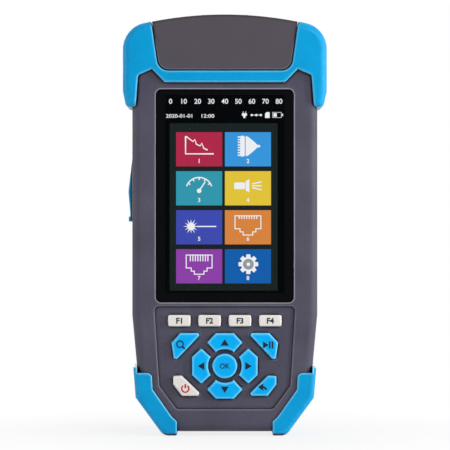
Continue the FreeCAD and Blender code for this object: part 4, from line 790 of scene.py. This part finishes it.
grey_ink = ink("grey_ink", linear(30, 27, 28))
dark_ink = ink("dark_ink", linear(12, 24, 38))
blue_ink = ink("blue_ink", linear(6, 62, 108))
red_ink = ink("red_ink", linear(196, 22, 26))
INK = 0.03  # how thick the print is
print_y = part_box("key_ok")[0][1] / MM - INK / 2


def key_middle(key):
    low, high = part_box(key)
    return (low[0] + high[0]) / 2 / MM, (low[2] + high[2]) / 2 / MM


def printed(name, outline, finish, key):
    """A pad-printed mark on a key, a hair proud of its cap."""
    return slab(name, outline, print_y - INK / 2, print_y + INK / 2, finish, key)


def drawn(name, strokes, width, finish, key, closed=()):
    return wires(name, strokes, width, print_y, finish, key, closed, flat=0.06)


for number in range(1, 5):
    key = f"key_f{number}"
    spot = key_middle(key)
    written(
        f"mark_f{number}", f"F{number}", *spot, 2.8, print_y, grey_ink, key, thick=INK, bold=0.035
    )
ROSE = Vector((0, 33.4))  # middle of the round key, with the arrows round it
written(
    "mark_ok", "OK", *ROSE, 2.6, print_y, blue_ink, "key_ok", width=4.9, thick=INK, bold=0.03
)
ARROW_AT, ARROW_HALF, ARROW_LONG = 9.8, 1.95, 3.1
for key, turn in (("key_up", 90), ("key_left", 180), ("key_down", 270), ("key_right", 0)):
    angle = math.radians(turn)
    away = Vector((math.cos(angle), math.sin(angle)))
    beside = Vector((-away.y, away.x)) * ARROW_HALF
    root = ROSE + ARROW_AT * away
    corners = (root - beside, root + beside, root + ARROW_LONG * away)
    printed("mark_" + key[4:], [tuple(c) for c in corners], dark_ink, key)
drawn("mark_search", [disc(-21.4, 43.9, 1.55, 24)], 0.75, dark_ink, "key_search", closed=(0,))
drawn("mark_search_handle", [[(-20.3, 42.8), (-19.1, 41.6)]], 0.95, dark_ink, "key_search")
RUN_LOW, RUN_HIGH = 41.8, 45.2
triangle = [(18.3, RUN_HIGH), (18.3, RUN_LOW), (21.0, (RUN_LOW + RUN_HIGH) / 2)]
printed("mark_run", triangle, dark_ink, "key_run")
for number, x in enumerate((21.1, 22.4)):
    bar = oblong(x, x + 0.8, RUN_LOW, RUN_HIGH)
    printed(f"mark_pause_{number}", bar, dark_ink, "key_run")
POWER_X = -18.9
drawn("mark_power", [arc(POWER_X, 22.6, 1.7, 125, 415, 24)], 0.8, red_ink, "key_power")
drawn("mark_power_bar", [[(POWER_X, 22.8), (POWER_X, 24.8)]], 0.8, red_ink, "key_power")
printed("mark_back_head", [(18.4, 25.2), (15.9, 23.4), (18.4, 21.6)], dark_ink, "key_back")
drawn("mark_back", [arc(17.9, 21.6, 1.9, 90, 15, 8)], 1.1, dark_ink, "key_back")

# ---- Top end: connector panel, ports, network jacks and dust cover ------------------------
# A black moulded panel is captured between the halves. Three nickel plated ports stand in
# its well under a hinged cover, with a shielded network jack at either side.

black_plastic = moulded("black_moulding", linear(26, 26, 28), linear(36, 36, 39), 0.48, 2.2, 0.03)
# painted highlight along the edges of the black mouldings
paint_edge_highlight_and_seam_shade(black_plastic, linear(70, 70, 74), 0.6)
dress(black_plastic, "connector_panel", "dust_cover", "side_port_panel", "power_socket")
nickel = metal("nickel_plate", (0.66, 0.64, 0.60, 1.0), 0.22)
dress(nickel, "usb_socket", "card_socket", "power_pin")
# each port is a nickel barrel with painted shade down its well, around a white ceramic alignment
# sleeve
PORT_PITCH, WELL, CERAMIC = 11.0, 3.15, 1.75
barrel = Finish("port_barrel")
across = barrel.height(0).math("ABSOLUTE")
across = across - PORT_PITCH * (across > PORT_PITCH / 2)
reach = (across ** 2 + barrel.height(1) ** 2) ** 0.5
ceramic = reach < CERAMIC
swirl = barrel.noise(3.0, 3.0)
tone = barrel.mix(swirl, (0.66, 0.64, 0.60, 1.0), (0.74, 0.72, 0.67, 1.0))
tone = barrel.mix(reach < WELL, tone, linear(58, 56, 54))
barrel.set(
    Base_Color=barrel.mix(ceramic, tone, linear(238, 234, 226)),
    Metallic=1 - ceramic,
    Roughness=0.24 + (swirl - 0.5) * 0.1,
)
barrel.bump(swirl, 0.01)
dress(barrel, "otdr_port", "power_port", "visual_port")
# a network jack is a black insert in a folded, plated shield. Both are alike about the middle
SHEET = 0.55
jack_low, jack_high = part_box("rj45_jack_right")
shield = Finish("shielded_jack", Roughness=0.3)
sideways, inward = shield.height(0).math("ABSOLUTE"), shield.height(1)
outside = 0.0
for place, low, high in zip((sideways, inward), jack_low, jack_high):
    from_middle = (place - (low + high) / 2 / MM).math("ABSOLUTE")
    outside = outside + (from_middle > (high - low) / 2 / MM - SHEET)
outside = outside.clamp()
rolled = shield.noise(2.0, 3.0)
plated = shield.mix(rolled, (0.60, 0.58, 0.55, 1.0), (0.70, 0.68, 0.64, 1.0))
shield.set(
    Base_Color=shield.mix(outside, linear(22, 22, 24), plated),
    Metallic=outside,
    Roughness=0.5 - 0.2 * outside + (rolled - 0.5) * 0.1,
)
shield.bump(rolled, 0.005)
dress(shield, "rj45_jack_left", "rj45_jack_right")
gold = metal("gold_flash", (0.90, 0.66, 0.27, 1.0), 0.2)
dress(gold, "jack_contacts", "battery_contacts")

# ---- Stand --------------------------------------------------------------------------------
# A stiff bail of glass-filled nylon, on two steel pins in lugs on the back.

nylon = moulded("black_nylon", linear(30, 30, 33), linear(44, 44, 48), 0.55, 1.2, 0.04)
# painted highlight along the stand's edges
paint_edge_highlight_and_seam_shade(nylon, linear(80, 80, 84), 0.8)
dress(nylon, "kickstand")

# ---- Inside -------------------------------------------------------------------------------
# Boards, packaged optics, the launch fibre on its spool, the sounder and the two cells. They
# show only when the instrument is opened.

board = Finish("solder_mask_green", Roughness=0.35)
upright = {"Vector": board.place(), "Rotation": (math.radians(90), 0, 0)}
layout = {
    "Vector": board.node("Mapping", sockets=upright),
    "Scale": 0.35,
    "Mortar Size": 0.03,
    "Color1": (0, 0, 0, 1),
    "Color2": (0.1, 0.1, 0.1, 1),
    "Mortar": (1, 1, 1, 1),
}
track_mask = board.node("TexBrick", sockets=layout).math("MINIMUM", 1.0)
board.set(Base_Color=board.mix(track_mask, linear(14, 74, 40), linear(30, 104, 58)))
board.bump(track_mask, 0.03)
dress(board, "main_board", "keypad_board")
chip_epoxy = moulded("chip_epoxy", linear(24, 24, 26), linear(32, 32, 34), 0.5, 3.0, 0.01)
dress(chip_epoxy, "board_chips", "buzzer")
module_can = metal("kovar_can", (0.70, 0.66, 0.56, 1.0), 0.3)
dress(module_can, "laser_module", "detector_module")
spool_white = moulded("white_spool", linear(206, 206, 202), linear(216, 216, 212), 0.45, 1.5, 0.01)
dress(spool_white, "fibre_spool")
fibre = Finish("yellow_fibre_turns", Roughness=0.4)
turns = fibre.node(
    "TexWave",
    {"wave_type": "RINGS", "rings_direction": "Y"},
    {"Vector": fibre.place(), "Scale": 0.35},
)
turn_mask = turns.math("MINIMUM", 1.0)
fibre.set(Base_Color=fibre.mix(turn_mask, linear(176, 138, 20), linear(226, 190, 60)))
fibre.bump(turn_mask, 0.2)
dress(fibre, "fibre_coil")
sleeve = Finish("cell_sleeve", Roughness=0.3)
wrap = sleeve.noise(0.3, 2.0)
sleeve.set(Base_Color=sleeve.mix(wrap, linear(20, 96, 62), linear(30, 112, 74)))
dress(sleeve, "battery_cells")
